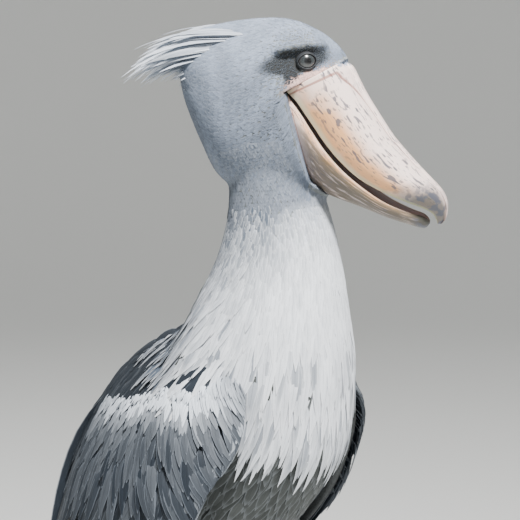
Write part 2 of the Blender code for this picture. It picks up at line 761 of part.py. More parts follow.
def crest_frames(row, column, rng):
    """Frames of one crest feather, in the head's frame: it trails back and droops."""
    forward, up, pitch_deg, length = row
    spread = 2 * column / (CREST_PER_ROW - 1) - 1
    pitch = math.radians(pitch_deg - 5.0 * abs(spread) + rng.uniform(-3, 3))
    length *= (1.0 - 0.12 * abs(spread)) * rng.uniform(0.86, 1.02)
    root = side(forward, up - 0.004 * abs(spread), 0.026 * spread)
    away = Vector((0.22 * spread, 1.0, 0.0)).normalized()
    frames = []
    for ring in range(len(CREST_OUTLINE)):
        run = length * ring / (len(CREST_OUTLINE) - 1)
        drop = CREST_DROOP * run ** 3
        place = root + away * run * math.cos(pitch) + Vector((0, 0, run * math.sin(pitch) - drop))
        frames.append((place, Vector((0.5 * spread, 0.2, 1.0)).normalized()))
    return frames


def crest_vanes():
    """The short shaggy crest at the back of the crown."""
    rng = random.Random(3)
    vanes = []
    for row in CREST_ROWS:
        for column in range(CREST_PER_ROW):
            frames = crest_frames(row, column, rng)
            vanes.append(free_vane(frames, CREST_HALF_WIDTH, CREST_OUTLINE))
    return vanes


def torso_plumes():
    """Long plumes hanging over the breast, the shoulders and the top of the back."""
    rng = random.Random(8)
    lifts = (-0.010, 0.0030, 0.0045, 0.0060)
    rows = [(root, tip, count, 0.0, reach, PLUME_HALF_WIDTH) for root, tip, count, reach in PLUME_ROWS]
    rows += [(root, tip, count, 0.5, reach, MANTLE_HALF_WIDTH) for root, tip, count, reach in MANTLE_ROWS]
    vanes = []
    for root, tip, count, middle, reach, half in rows:
        for k in range(count):
            turn = reach * (2 * k / (count - 1) - 1) + rng.uniform(-0.006, 0.006)
            start = (root + rng.uniform(-0.05, 0.05), middle + turn * 0.95)
            end = (tip + rng.uniform(-0.08, 0.08), middle + turn + rng.uniform(-0.008, 0.008))
            vanes.append(laid_vane(body_point, start, end, half, PLUME_OUTLINE, COVERT_RUNS, lifts))
    cut_by_wings(vanes)
    return vanes


def cut_by_wings(vanes):
    """Ends the plumes where the wings and their feathers begin.

    The exact solver leaves the wing's space empty, because its two faces come close at the rim.
    """
    left = wing_sheet("wing space", WING_CLEARANCE, 0.04)
    inside = torso_piece("inside")
    apply_boolean(left, inside, "DIFFERENCE", "MANIFOLD", scratch=True)
    spaces = (left, mirrored(left, "other wing space"))
    for plume in vanes:
        for space in spaces:
            apply_boolean(plume, space, "DIFFERENCE", "MANIFOLD", scratch=True)
    for spent in (inside, *spaces):
        bpy.data.objects.remove(spent)


def limb_point(rings, turn, run, out, flatten=1.0):
    """A point on a round limb that runs down through its rings."""
    forward, up, radius = spline(rings, run * (len(rings) - 1))
    s, c = math.sin(turn * math.tau), math.cos(turn * math.tau)
    return side(forward + radius * c, up, out + radius * s * flatten)


def toe_point(toe, turn, run, out):
    """A toe lying on the floor, with a flat sole, swollen joints and a curved claw."""
    length, heading, half = toe
    along = length * run
    reach = max(0.0, (along - (length - CLAW_LENGTH)) / CLAW_LENGTH)
    swell = 1.0 + 0.10 * math.cos(run * math.tau * 3.5)
    radius = half * (1.0 - 0.35 * run) * swell
    if reach > 0:
        radius *= max(0.06, 0.72 * max(0.0, 1.0 - reach) ** 0.7)
    s, c = math.sin(turn * math.tau), math.cos(turn * math.tau)
    height = radius * 0.95 * (1.0 + max(c, -0.80))
    drop = 0.55 * half * math.sin(math.pi * min(reach * 1.2, 1.0)) if reach > 0 else 0.0
    height = max(height - 0.19 * radius, 0.0) + drop
    angle = math.radians(heading)
    forward = FOOT_JOINT[0] + along * math.cos(angle) - radius * s * math.sin(angle)
    across = along * math.sin(angle) + radius * s * math.cos(angle)
    return side(forward, height, out + across)


def build_leg(sign, word):
    """Thigh, shank and foot of one leg."""
    out = sign * LEG_SPACING / 2
    thigh = make_object(
        "thigh_" + word,
        tube(lambda turn, run: limb_point(THIGH_RINGS, turn, run, out, 0.85), 14, 9),
        ("plumage", PLUMAGE),
    )
    cut_clear(thigh)
    make_object(
        "shank_" + word,
        tube(lambda turn, run: limb_point(SHANK_RINGS, turn, run, out), 10, 13),
        ("leg skin", LEG_SKIN),
    )
    foot = make_object(
        "foot_" + word,
        tube(lambda turn, run: foot_hub_point(turn, run, out), 12, 3),
        ("leg skin", LEG_SKIN),
    )
    toes = []
    for toe in TOES:
        turned = (toe[0], toe[1] * sign, toe[2])
        toes.append(make_object("toe", tube(lambda turn, run: toe_point(turned, turn, run, out), 8, 10)))
    fuse(foot, toes)


def foot_hub_point(turn, run, out):
    """The pad that the toes spring from, under the shank."""
    radius = 0.0165 - 0.004 * run
    s, c = math.sin(turn * math.tau), math.cos(turn * math.tau)
    return side(FOOT_JOINT[0] + radius * c, FOOT_HEIGHT * run, out + radius * s)


def build_bird():
    """Every part of the bird."""
    build_head()
    build_bill()
    body_piece("neck", NECK_BASE_RING + 0.006, NECK_TOP_RING, 5, 24, ("plumage", PLUMAGE))
    torso = torso_piece("torso", ("pale plumage", PALE_PLUMAGE))
    fuse(torso, torso_plumes(), "MANIFOLD")
    build_wings()
    build_tail()
    for sign, word in ((-1, "right"), (1, "left")):
        build_leg(sign, word)


def centre_bird():
    """Stands the bird with the middle of its outline over the origin."""
    for obj in bpy.data.objects:
        obj.data.transform(Matrix.Translation((0, -ORIGIN_BEHIND, 0)))


for old in list(bpy.data.objects):
    bpy.data.objects.remove(old)
build_bird()
centre_bird()
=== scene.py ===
"""The looks of a standing shoebill: skin, feathers laid in rows, bill, eyes, legs and studio.

Metres, +Z up. The bird faces -Y and its left side is +X. Places in its side view are (forward, up).
"""

import logging
import math
from dataclasses import dataclass, field, replace
from enum import Enum
from typing import Callable, Optional, Sequence

import bmesh
import bpy
import numpy as np
from mathutils import Matrix, Vector
from mathutils.bvhtree import BVHTree
from mathutils.kdtree import KDTree

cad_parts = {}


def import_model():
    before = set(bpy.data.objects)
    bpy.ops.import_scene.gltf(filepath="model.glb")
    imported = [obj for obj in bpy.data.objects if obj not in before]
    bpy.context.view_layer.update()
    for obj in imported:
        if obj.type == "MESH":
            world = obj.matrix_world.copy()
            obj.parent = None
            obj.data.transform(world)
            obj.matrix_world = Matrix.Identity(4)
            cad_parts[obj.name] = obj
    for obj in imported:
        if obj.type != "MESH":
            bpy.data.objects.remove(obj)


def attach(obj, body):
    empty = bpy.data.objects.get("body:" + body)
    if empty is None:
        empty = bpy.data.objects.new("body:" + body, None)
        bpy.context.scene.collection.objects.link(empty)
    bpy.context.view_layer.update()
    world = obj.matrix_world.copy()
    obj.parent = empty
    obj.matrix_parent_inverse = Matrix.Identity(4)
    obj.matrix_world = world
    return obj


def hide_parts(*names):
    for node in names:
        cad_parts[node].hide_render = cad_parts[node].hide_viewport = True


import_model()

Array = np.ndarray
BMesh = bmesh.types.BMesh
Node = bpy.types.Node
Object = bpy.types.Object
Socket = bpy.types.NodeSocket
log = logging.getLogger("shoebill")

# The frame that the solids share
ORIGIN_BEHIND = 0.0190
HEAD_TURN = math.radians(24.0)
HEAD_PIVOT = 0.080
COAT_DEPTH = 0.0030
HEAD_COAT_DEPTH = 0.0014

# Rings of the body: forward, up, reach to the back, reach to the front, half width
BODY_RINGS = (
    (-0.222, 0.392, 0.028, 0.032, 0.034),
    (-0.195, 0.428, 0.048, 0.060, 0.068),
    (-0.158, 0.480, 0.068, 0.096, 0.100),
    (-0.112, 0.543, 0.084, 0.126, 0.118),
    (-0.066, 0.608, 0.088, 0.147, 0.127),
    (-0.022, 0.676, 0.087, 0.157, 0.128),
    (0.022, 0.742, 0.079, 0.156, 0.123),
    (0.056, 0.806, 0.076, 0.124, 0.108),
    (0.076, 0.868, 0.072, 0.094, 0.086),
    (0.083, 0.930, 0.063, 0.075, 0.068),
    (0.081, 0.985, 0.057, 0.058, 0.058),
    (0.076, 1.035, 0.054, 0.054, 0.055),
    (0.072, 1.085, 0.050, 0.050, 0.050),
)
BODY_SQUARENESS = 2.2
# Below the shoulders the back is slimmer than the breast: how much, from which ring, over how many
BACK_SLIMNESS = 0.34
BACK_SLIM_FROM = 7.4
BACK_SLIM_OVER = 2.0
ALL_ROUND = (-0.5, 0.5)
HEAD_SQUARENESS = 2.15

# Rings of the head: top forward, top up, bottom forward, bottom up, half width
HEAD_RINGS = (
    (-0.112, 1.157, -0.117, 1.120, 0.016),
    (-0.098, 1.178, -0.108, 1.088, 0.036),
    (-0.064, 1.188, -0.089, 1.042, 0.052),
    (-0.026, 1.1935, -0.066, 1.000, 0.060),
    (0.013, 1.194, -0.022, 0.978, 0.062),
    (0.044, 1.1845, 0.020, 0.974, 0.061),
    (0.071, 1.1675, 0.050, 0.978, 0.058),
    (0.091, 1.144, 0.073, 0.981, 0.054),
    (0.113, 1.110, 0.096, 0.978, 0.049),
)
GAPE_CORNER = (0.019, 1.107)
CULMEN_BASE = (0.0905, 1.146)
CHIN_BASE = (0.050, 0.990)
EYE_PLACE = (0.0425, 1.143, 0.0365)
EYE_FORWARD = math.radians(22.0)
EYE_RADIUS = 0.0128

# Rings of the bill: ridge forward, ridge up, edge forward, edge up, half width
UPPER_BILL_RINGS = (
    (0.09064, 1.14574, 0.02046, 1.10746, 0.0500),
    (0.1022, 1.1215, 0.0315, 1.0970, 0.0510),
    (0.1132, 1.1010, 0.0415, 1.0830, 0.0512),
    (0.1262, 1.0805, 0.0520, 1.0680, 0.0510),
    (0.1435, 1.0545, 0.0680, 1.0450, 0.0500),
    (0.1580, 1.0375, 0.0845, 1.0255, 0.0480),
    (0.1745, 1.0195, 0.1070, 1.0050, 0.0445),
    (0.1900, 1.0035, 0.1360, 0.9885, 0.0390),
    (0.2015, 0.9915, 0.1620, 0.9770, 0.0320),
    (0.2080, 0.9800, 0.1820, 0.9690, 0.0230),
    (0.2100, 0.9685, 0.1925, 0.9620, 0.0145),
    (0.2080, 0.9560, 0.1965, 0.9545, 0.0075),
    (0.2030, 0.9490, 0.1975, 0.9490, 0.0025),
)
LOWER_BILL_RINGS = (
    (0.0197, 1.1056, 0.0503, 0.9901, 0.0440),
    (0.0375, 1.0815, 0.0570, 0.9865, 0.0465),
    (0.0500, 1.0620, 0.0650, 0.9825, 0.0470),
    (0.0675, 1.0365, 0.0820, 0.9760, 0.0460),
    (0.0930, 1.0090, 0.1060, 0.9680, 0.0425),
    (0.1300, 0.9805, 0.1370, 0.9560, 0.0350),
    (0.1600, 0.9660, 0.1650, 0.9475, 0.0260),
    (0.1790, 0.9600, 0.1810, 0.9435, 0.0165),
    (0.1885, 0.9560, 0.1885, 0.9460, 0.0070),
)
# Half sections of the bill from its upper middle line to the lower one: height, share of half width
UPPER_BILL_SECTION = (
    (1.00, 0.00), (0.985, 0.13), (0.90, 0.19), (0.84, 0.40), (0.58, 0.74), (0.18, 0.95),
    (-0.35, 1.00), (-0.85, 0.90), (-1.00, 0.84), (-0.90, 0.60), (-0.84, 0.00),
)
LOWER_BILL_SECTION = (
    (0.86, 0.00), (0.90, 0.62), (1.00, 0.86), (0.86, 0.96), (0.45, 1.00),
    (-0.10, 0.90), (-0.60, 0.66), (-0.92, 0.34), (-1.00, 0.00),
)
BILL_HALF_WIDTH = 0.051

# Guide curves of the folded wing from the shoulder to the tip: out, forward, up
WING_LEADING = (
    (0.108, 0.108, 0.752), (0.138, 0.119, 0.700), (0.170, 0.092, 0.635), (0.172, 0.056, 0.560),
    (0.150, -0.016, 0.470), (0.112, -0.110, 0.376), (0.068, -0.216, 0.288), (0.034, -0.312, 0.226),
)
WING_OUTER = (
    (0.114, 0.078, 0.788), (0.146, 0.040, 0.738), (0.156, -0.012, 0.668), (0.157, -0.064, 0.590),
    (0.140, -0.126, 0.502), (0.108, -0.196, 0.414), (0.067, -0.266, 0.322), (0.027, -0.322, 0.232),
)
WING_DORSAL = (
    (0.070, 0.020, 0.830), (0.036, -0.066, 0.793), (0.012, -0.147, 0.738), (0.004, -0.204, 0.670),
    (0.003, -0.248, 0.585), (0.004, -0.278, 0.488), (0.006, -0.302, 0.372), (0.010, -0.326, 0.238),
)
WING_ARM_DEPTH = 0.036
WING_EDGE_DEPTH = 0.004
WING_CORE_SINK = 0.0055
WING_CORE_END = 0.80

# The tail: root and tip in the side view, half widths
TAIL_ROOT = (-0.212, 0.404)
TAIL_TIP = (-0.248, 0.202)
TAIL_HALF_WIDTHS = (0.030, 0.058)
TAIL_DROOP = 0.020

# The leg: forward, up, radius; toes: length, direction, root half width
THIGH_RINGS = (
    (0.004, 0.620, 0.020), (0.008, 0.580, 0.046), (0.008, 0.530, 0.060), (0.000, 0.480, 0.060),
    (-0.014, 0.430, 0.048), (-0.026, 0.385, 0.032), (-0.033, 0.355, 0.021), (-0.036, 0.342, 0.0165),
)
SHANK_RINGS = (
    (-0.0366, 0.3417, 0.0105), (-0.041, 0.312, 0.0100), (-0.046, 0.292, 0.0140),
    (-0.048, 0.276, 0.0175), (-0.045, 0.258, 0.0150), (-0.040, 0.236, 0.0100),
    (-0.026, 0.150, 0.0088), (-0.014, 0.075, 0.0092), (-0.008, 0.044, 0.0120),
    (-0.006, 0.0306, 0.0135),
)
TOES = ((0.175, 4.0, 0.0085), (0.130, -20.0, 0.0080), (0.150, 32.0, 0.0080), (0.088, 176.0, 0.0075))
FOOT_FORWARD = -0.006
FOOT_HEIGHT = 0.030
CLAW_LENGTH = 0.020
LEG_OUT = 0.064
THIGH_FLATNESS = 0.85


class Side(Enum):
    """The bird's own sides; the value is the sign of X there."""

    LEFT = 1
    RIGHT = -1

    @property
    def word(self) -> str:
        """The side's name as the nodes spell it."""
        return self.name.lower()


class Outline(Enum):
    """Share of its half width that a feather has, from root to tip."""

    ROUND = (0.40, 0.78, 0.96, 1.00, 0.90, 0.62, 0.12)
    LANCE = (0.45, 0.80, 1.00, 0.96, 0.78, 0.48, 0.05)
    FLIGHT = (0.45, 0.75, 0.92, 1.00, 0.98, 0.80, 0.16)


def curve(knots: Sequence, t: Array) -> Array:
    """Values of a smooth curve through the knots.

    Args:
        knots: Rows of numbers that the curve passes through.
        t: Places along it, 0 at the first knot and 1 more at each next one.

    Returns:
        One row of numbers for each place.
    """
    knots = np.asarray(knots, float)
    t = np.asarray(t, float)
    last = len(knots) - 1
    i = np.clip(np.floor(t).astype(int), 0, last - 1)
    f = (t - i)[..., None]
    a, b = knots[i], knots[i + 1]
    before = np.where((i > 0)[..., None], knots[np.maximum(i - 1, 0)], 2 * a - b)
    after = np.where((i + 2 <= last)[..., None], knots[np.minimum(i + 2, last)], 2 * b - a)
    cubic = 3 * (a - b) + after - before
    square = 2 * before - 5 * a + 4 * b - after
    return a + 0.5 * f * (b - before + f * (square + f * cubic))


def limited(values: Array) -> Array:
    """The values kept from 0 to 1."""
    return np.clip(values, 0.0, 1.0)


def bell(off: Array, width: float) -> Array:
    """1 where a value is 0, falling to nothing a few widths away."""
    return np.exp(-((off / width) ** 2))


def between(ends: Sequence, share: Array) -> Array:
    """Numbers from the first of two ends to the second, the share going from 0 to 1."""
    return ends[0] + (ends[1] - ends[0]) * share


def circle(turn: Array) -> tuple[Array, Array]:
    """Sine and cosine of a turn, 1 being once round."""
    return np.sin(turn * math.tau), np.cos(turn * math.tau)


def rounded(turn: Array, squareness: float) -> tuple[Array, Array]:
    """Sine and cosine round a rounded square, turn 1 being once round it."""
    s, c = circle(turn)
    power = 2.0 / squareness
    return np.sign(s) * np.abs(s) ** power, np.sign(c) * np.abs(c) ** power


def on_chord(top_f: Array, top_u: Array, low_f: Array, low_u: Array, height: Array) -> tuple:
    """Forward and up of places on chords, height 1 at their top end and -1 at the low one."""
    forward = (top_f + low_f) / 2 + (top_f - low_f) / 2 * height
    return forward, (top_u + low_u) / 2 + (top_u - low_u) / 2 * height


def world(forward: Array, up: Array, out: Array) -> Array:
    """Points from places in the side view and their distance out to the bird's left."""
    out, forward, up = np.broadcast_arrays(out, forward, up)
    return np.stack([out, -forward - ORIGIN_BEHIND, up], axis=-1)


def head_turned(points: Array, back: bool = False) -> Array:
    """Points of the head's own straight side view moved to the neck and turned, or back again."""
    angle = -HEAD_TURN if back else HEAD_TURN
    before, after = ORIGIN_BEHIND, -HEAD_PIVOT - ORIGIN_BEHIND
    if back:
        before, after = -after, -before
    s, c = math.sin(angle), math.cos(angle)
    x, y = points[..., 0], points[..., 1] + before
    return np.stack([x * c - y * s, x * s + y * c + after, points[..., 2]], axis=-1)


def unit(vectors: Array) -> Array:
    """The vectors at length one."""
    return vectors / np.maximum(np.linalg.norm(vectors, axis=-1, keepdims=True), 1e-12)


class Surface:
    """A smooth sheet over the bird, read at two coordinates: a down its length, b across it."""

    outward = 1.0
    spans = ((0.0, 1.0), (0.0, 1.0))

    def at(self, a: Array, b: Array) -> Array:
        """Points on the sheet."""
        raise NotImplementedError

    def slopes(self, a: Array, b: Array, step: float = 0.004) -> tuple[Array, Array]:
        """How far a point moves for one more of a and of b."""
        along = (self.at(a + step, b) - self.at(a - step, b)) / (2 * step)
        across = (self.at(a, b + step) - self.at(a, b - step)) / (2 * step)
        return along, across

    def normal(self, a: Array, b: Array) -> Array:
        """The outward direction."""
        along, across = self.slopes(a, b)
        return unit(np.cross(along, across)) * self.outward

    def raised(self, a: Array, b: Array, lift: Array) -> Array:
        """Points above the sheet."""
        return self.at(a, b) + self.normal(a, b) * np.asarray(lift)[..., None]

    def unwrap(self, a: Array, b: Array) -> Array:
        """Places on a flat unwrap of the sheet, from 0.01 to 0.98."""
        (a0, a1), (b0, b1) = self.spans
        flat = np.stack([(b - b0) / (b1 - b0), (a - a0) / (a1 - a0)], axis=-1)
        return 0.01 + 0.97 * np.clip(np.mod(flat, 1.0001), 0.0, 1.0)


@dataclass
class BodySurface(Surface):
    """Torso and neck: a is the ring from the tail root up, b the turn from breast to left."""

    outward = -1.0
    spans = ((0.0, 12.0), (-0.5, 0.5))

    def at(self, a: Array, b: Array, step: float = 0.05) -> Array:
        """Points on rings that stand square to the line of their middles."""
        rings = curve(BODY_RINGS, a)
        ahead = curve(BODY_RINGS, np.minimum(a + step, len(BODY_RINGS) - 1))
        run = unit((ahead - curve(BODY_RINGS, np.maximum(a - step, 0)))[..., :2])
        s, c = rounded(b, BODY_SQUARENESS)
        reach = np.where(c > 0, rings[..., 3], rings[..., 2]) * c
        slim = BACK_SLIMNESS * limited((BACK_SLIM_FROM - a) / BACK_SLIM_OVER)
        out = rings[..., 4] * s * (1.0 - slim * np.minimum(c, 0.0) ** 2)
        return world(rings[..., 0] + run[..., 1] * reach, rings[..., 1] - run[..., 0] * reach, out)


@dataclass
class HeadSurface(Surface):
    """The head: a is the ring from the nape to the face, b the turn from the crown to the left."""

    outward = 1.0
    spans = ((0.0, 8.0), (-0.5, 0.5))

    def at(self, a: Array, b: Array) -> Array:
        """Points on the turned head, which is widest below its middle."""
        *chord, half = np.moveaxis(curve(HEAD_RINGS, a), -1, 0)
        s, c = rounded(b, HEAD_SQUARENESS)
        out = half * s * (1.0 - 0.20 * c - 0.10 * c * c)
        return head_turned(world(*on_chord(*chord, c), out))


@dataclass
class WingSurface(Surface):
    """A folded wing: a runs from shoulder to tip, b from the front edge over to the back."""

    side: Side = Side.LEFT
    under: bool = False
    spans = ((-0.05, 1.05), (-0.1, 1.1))

    @property
    def outward(self) -> float:
        """Mirroring turns the sheet inside out, and so does looking at its under side."""
        return self.side.value * (-1.0 if self.under else 1.0)

    def at(self, a: Array, b: Array) -> Array:
        """Points on a parabola through the three guide curves."""
        t = a * (len(WING_LEADING) - 1)
        lead, outer, dorsal = (curve(guide, t) for guide in (WING_LEADING, WING_OUTER, WING_DORSAL))
        b = np.asarray(b)[..., None]
        spot = lead * ((1 - b) * (1 - 2 * b)) + outer * (4 * b * (1 - b))
        spot = spot + dorsal * (b * (2 * b - 1))
        return world(spot[..., 1], spot[..., 2], self.side.value * spot[..., 0])

    @staticmethod
    def depth(a: Array, b: Array) -> Array:
        """How thick the wing is under its feathers: deep at the arm, thin at the edges."""
        inside = np.sin(math.pi * limited(b))
        arm = np.exp(-(((a - 0.22) / 0.24) ** 2)) * np.maximum(inside, 0.0) ** 0.8
        wrist = np.exp(-(((a - 0.12) / 0.10) ** 2) - ((b - 0.05) / 0.20) ** 2)
        return WING_EDGE_DEPTH + WING_ARM_DEPTH * arm + 0.012 * wrist


@dataclass
class TailSurface(Surface):
    """The tail's fan: a runs from root to tip, b from the right edge at -1 to the left at 1."""

    outward = -1.0
    spans = ((-0.1, 1.1), (-1.1, 1.1))

    def at(self, a: Array, b: Array) -> Array:
        """Points on the fan, its edges drooping."""
        root, tip = np.array(TAIL_ROOT), np.array(TAIL_TIP)
        heading = (tip - root) / np.linalg.norm(tip - root)
        half = between(TAIL_HALF_WIDTHS, a)
        droop = TAIL_DROOP * b * b
        forward = root[0] + (tip[0] - root[0]) * a - heading[1] * droop
        up = root[1] + (tip[1] - root[1]) * a + heading[0] * droop
        return world(forward, up, b * half)


@dataclass
class ThighSurface(Surface):
    """A feathered thigh: a is the ring from the hip down, b the turn from the front to the left."""

    side: Side = Side.LEFT
    outward = 1.0
    spans = ((0.0, 7.0), (-0.5, 0.5))

    def at(self, a: Array, b: Array) -> Array:
        """Points on the thigh."""
        rings = curve(THIGH_RINGS, a)
        s, c = circle(b)
        out = self.side.value * LEG_OUT + rings[..., 2] * s * THIGH_FLATNESS
        return world(rings[..., 0] + rings[..., 2] * c, rings[..., 1], out)


BODY, HEAD, TAIL = BodySurface(), HeadSurface(), TailSurface()


def places_of(bm: BMesh) -> Array:
    """The places of a bmesh's vertices."""
    return np.array([v.co for v in bm.verts])


def move_to(bm: BMesh, spots: Array) -> None:
    """Moves each vertex of a bmesh to its new place."""
    for v, spot in zip(bm.verts, spots):
        v.co = spot


def rolled_grid(around: int, along: int) -> tuple[BMesh, Array, Array]:
    """A grid to be rolled up: its bmesh, and each vertex's turn and run, from 0 to 1."""
    bm = bmesh.new()
    bmesh.ops.create_grid(bm, x_segments=around, y_segments=along, size=0.5)
    turn, run = places_of(bm)[:, :2].T + 0.5
    return bm, np.where(turn > 0.9999, 0.0, turn), run


def closed_tube(surface: Callable[[Array, Array], Array], around: int, along: int) -> BMesh:
    """A closed bmesh from a sheet that meets itself.

    Args:
        surface: Gives points for turn, once round from 0 to 1, and run, from end to end.
        around: Faces round it.
        along: Faces from end to end.

    Returns:
        The bmesh, its ends filled and its faces out, with turn and run kept for each vertex.
    """
    bm, turn, run = rolled_grid(around, along)
    move_to(bm, surface(turn, run))
    for name, values in (("turn", turn), ("run", run)):
        layer = bm.verts.layers.float.new(name)
        for v, value in zip(bm.verts, values):
            v[layer] = value
    bmesh.ops.remove_doubles(bm, verts=bm.verts, dist=1e-6)
    bmesh.ops.holes_fill(bm, edges=[e for e in bm.edges if e.is_boundary], sides=0)
    bmesh.ops.recalc_face_normals(bm, faces=bm.faces)
    return bm


def ellipsoid(radii: Sequence, place: Matrix) -> BMesh:
    """A ball with three radii of its own, moved to its place."""
    bm = bmesh.new()
    bmesh.ops.create_uvsphere(bm, u_segments=24, v_segments=12, radius=1.0)
    bmesh.ops.scale(bm, vec=radii, verts=bm.verts)
    bmesh.ops.transform(bm, matrix=place, verts=bm.verts)
    return bm


def join(whole: BMesh, part: BMesh) -> None:
    """Adds a bmesh to another and frees it."""
    mesh = bpy.data.meshes.new("part")
    part.to_mesh(mesh)
    part.free()
    whole.from_mesh(mesh)
    bpy.data.meshes.remove(mesh)


def link(name: str, data: bpy.types.ID) -> Object:
    """A new object in the scene."""
    obj = bpy.data.objects.new(name, data)
    bpy.context.scene.collection.objects.link(obj)
    return obj


def add_object(
    name: str, bm: BMesh, finish: Optional[bpy.types.Material] = None
) -> Object:
    """A smooth-shaded object from a bmesh, which is freed."""
    mesh = bpy.data.meshes.new(name)
    bm.to_mesh(mesh)
    bm.free()
    mesh.shade_smooth()
    if finish:
        mesh.materials.append(finish)
    return link(name, mesh)


def coordinates(obj: Object) -> Array:
    """The places of an object's vertices."""
    flat = np.empty(len(obj.data.vertices) * 3, np.float32)
    obj.data.vertices.foreach_get("co", flat)
    return flat.reshape(-1, 3).astype(float)


def read_attribute(mesh: bpy.types.Mesh, name: str) -> Array:
    """The numbers that a mesh keeps for its vertices."""
    values = np.empty(len(mesh.vertices), np.float32)
    mesh.attributes[name].data.foreach_get("value", values)
    return values.astype(float)


def add_attribute(mesh: bpy.types.Mesh, name: str, values: Array) -> None:
    """Stores one number for each vertex of a mesh."""
    layer = mesh.attributes.new(name, "FLOAT", "POINT")
    layer.data.foreach_set("value", np.ascontiguousarray(values, np.float32).ravel())


def baked(obj: Object) -> None:
    """Applies an object's modifiers to its mesh."""
    graph = bpy.context.evaluated_depsgraph_get()
    mesh = bpy.data.meshes.new_from_object(obj.evaluated_get(graph))
    obj.modifiers.clear()
    obj.data = mesh


def remeshed(obj: Object, voxel: float, smoothing: int) -> Object:
    """The object with its forms melted into one and smoothed."""
    remesh = obj.modifiers.new("Remesh", "REMESH")
    remesh.mode = "VOXEL"
    remesh.voxel_size = voxel
    smooth = obj.modifiers.new("Smooth", "SMOOTH")
    smooth.iterations = smoothing
    baked(obj)
    obj.data.shade_smooth()
    return obj


def cut(obj: Object, cutter: Object) -> None:
    """Takes one object's shape out of another, and removes it."""
    modifier = obj.modifiers.new("Cut", "BOOLEAN")
    modifier.object = cutter
    modifier.operation = "DIFFERENCE"
    baked(obj)
    bpy.data.objects.remove(cutter)


def eye_frame(side: Side) -> Matrix:
    """The eye's own frame in the turned head: +Z looks out of it, +X lies along its lids."""
    forward, up, out = EYE_PLACE
    centre = Vector((side.value * out, -forward, up))
    gaze = Vector((side.value * math.cos(EYE_FORWARD), -math.sin(EYE_FORWARD), 0.06)).normalized()
    lengthways = Vector((0, -1, 0.12))
    across = gaze.cross(lengthways).normalized()
    turned = Matrix((across.cross(gaze), across, gaze)).transposed().to_4x4()
    pivot = Vector((0.0, -HEAD_PIVOT - ORIGIN_BEHIND, 0.0))
    head = Matrix.Translation(pivot) @ Matrix.Rotation(HEAD_TURN, 4, "Z")
    return head @ Matrix.Translation(centre) @ turned


def in_bill_wedge(points: Array, margin: float = 0.0) -> Array:
    """Which points lie where the bill takes the place of feathers."""
    local = head_turned(points, back=True)
    rel_f = -local[..., 1] - ORIGIN_BEHIND - GAPE_CORNER[0]
    rel_u = local[..., 2] - GAPE_CORNER[1]
    upper = np.subtract(CULMEN_BASE, GAPE_CORNER)
    lower = np.subtract(CHIN_BASE, GAPE_CORNER)
    below_upper = (upper[0] * rel_u - upper[1] * rel_f) / np.hypot(*upper) < margin
    ahead_lower = (lower[0] * rel_u - lower[1] * rel_f) / np.hypot(*lower) > -margin
    return below_upper & ahead_lower


# Materials


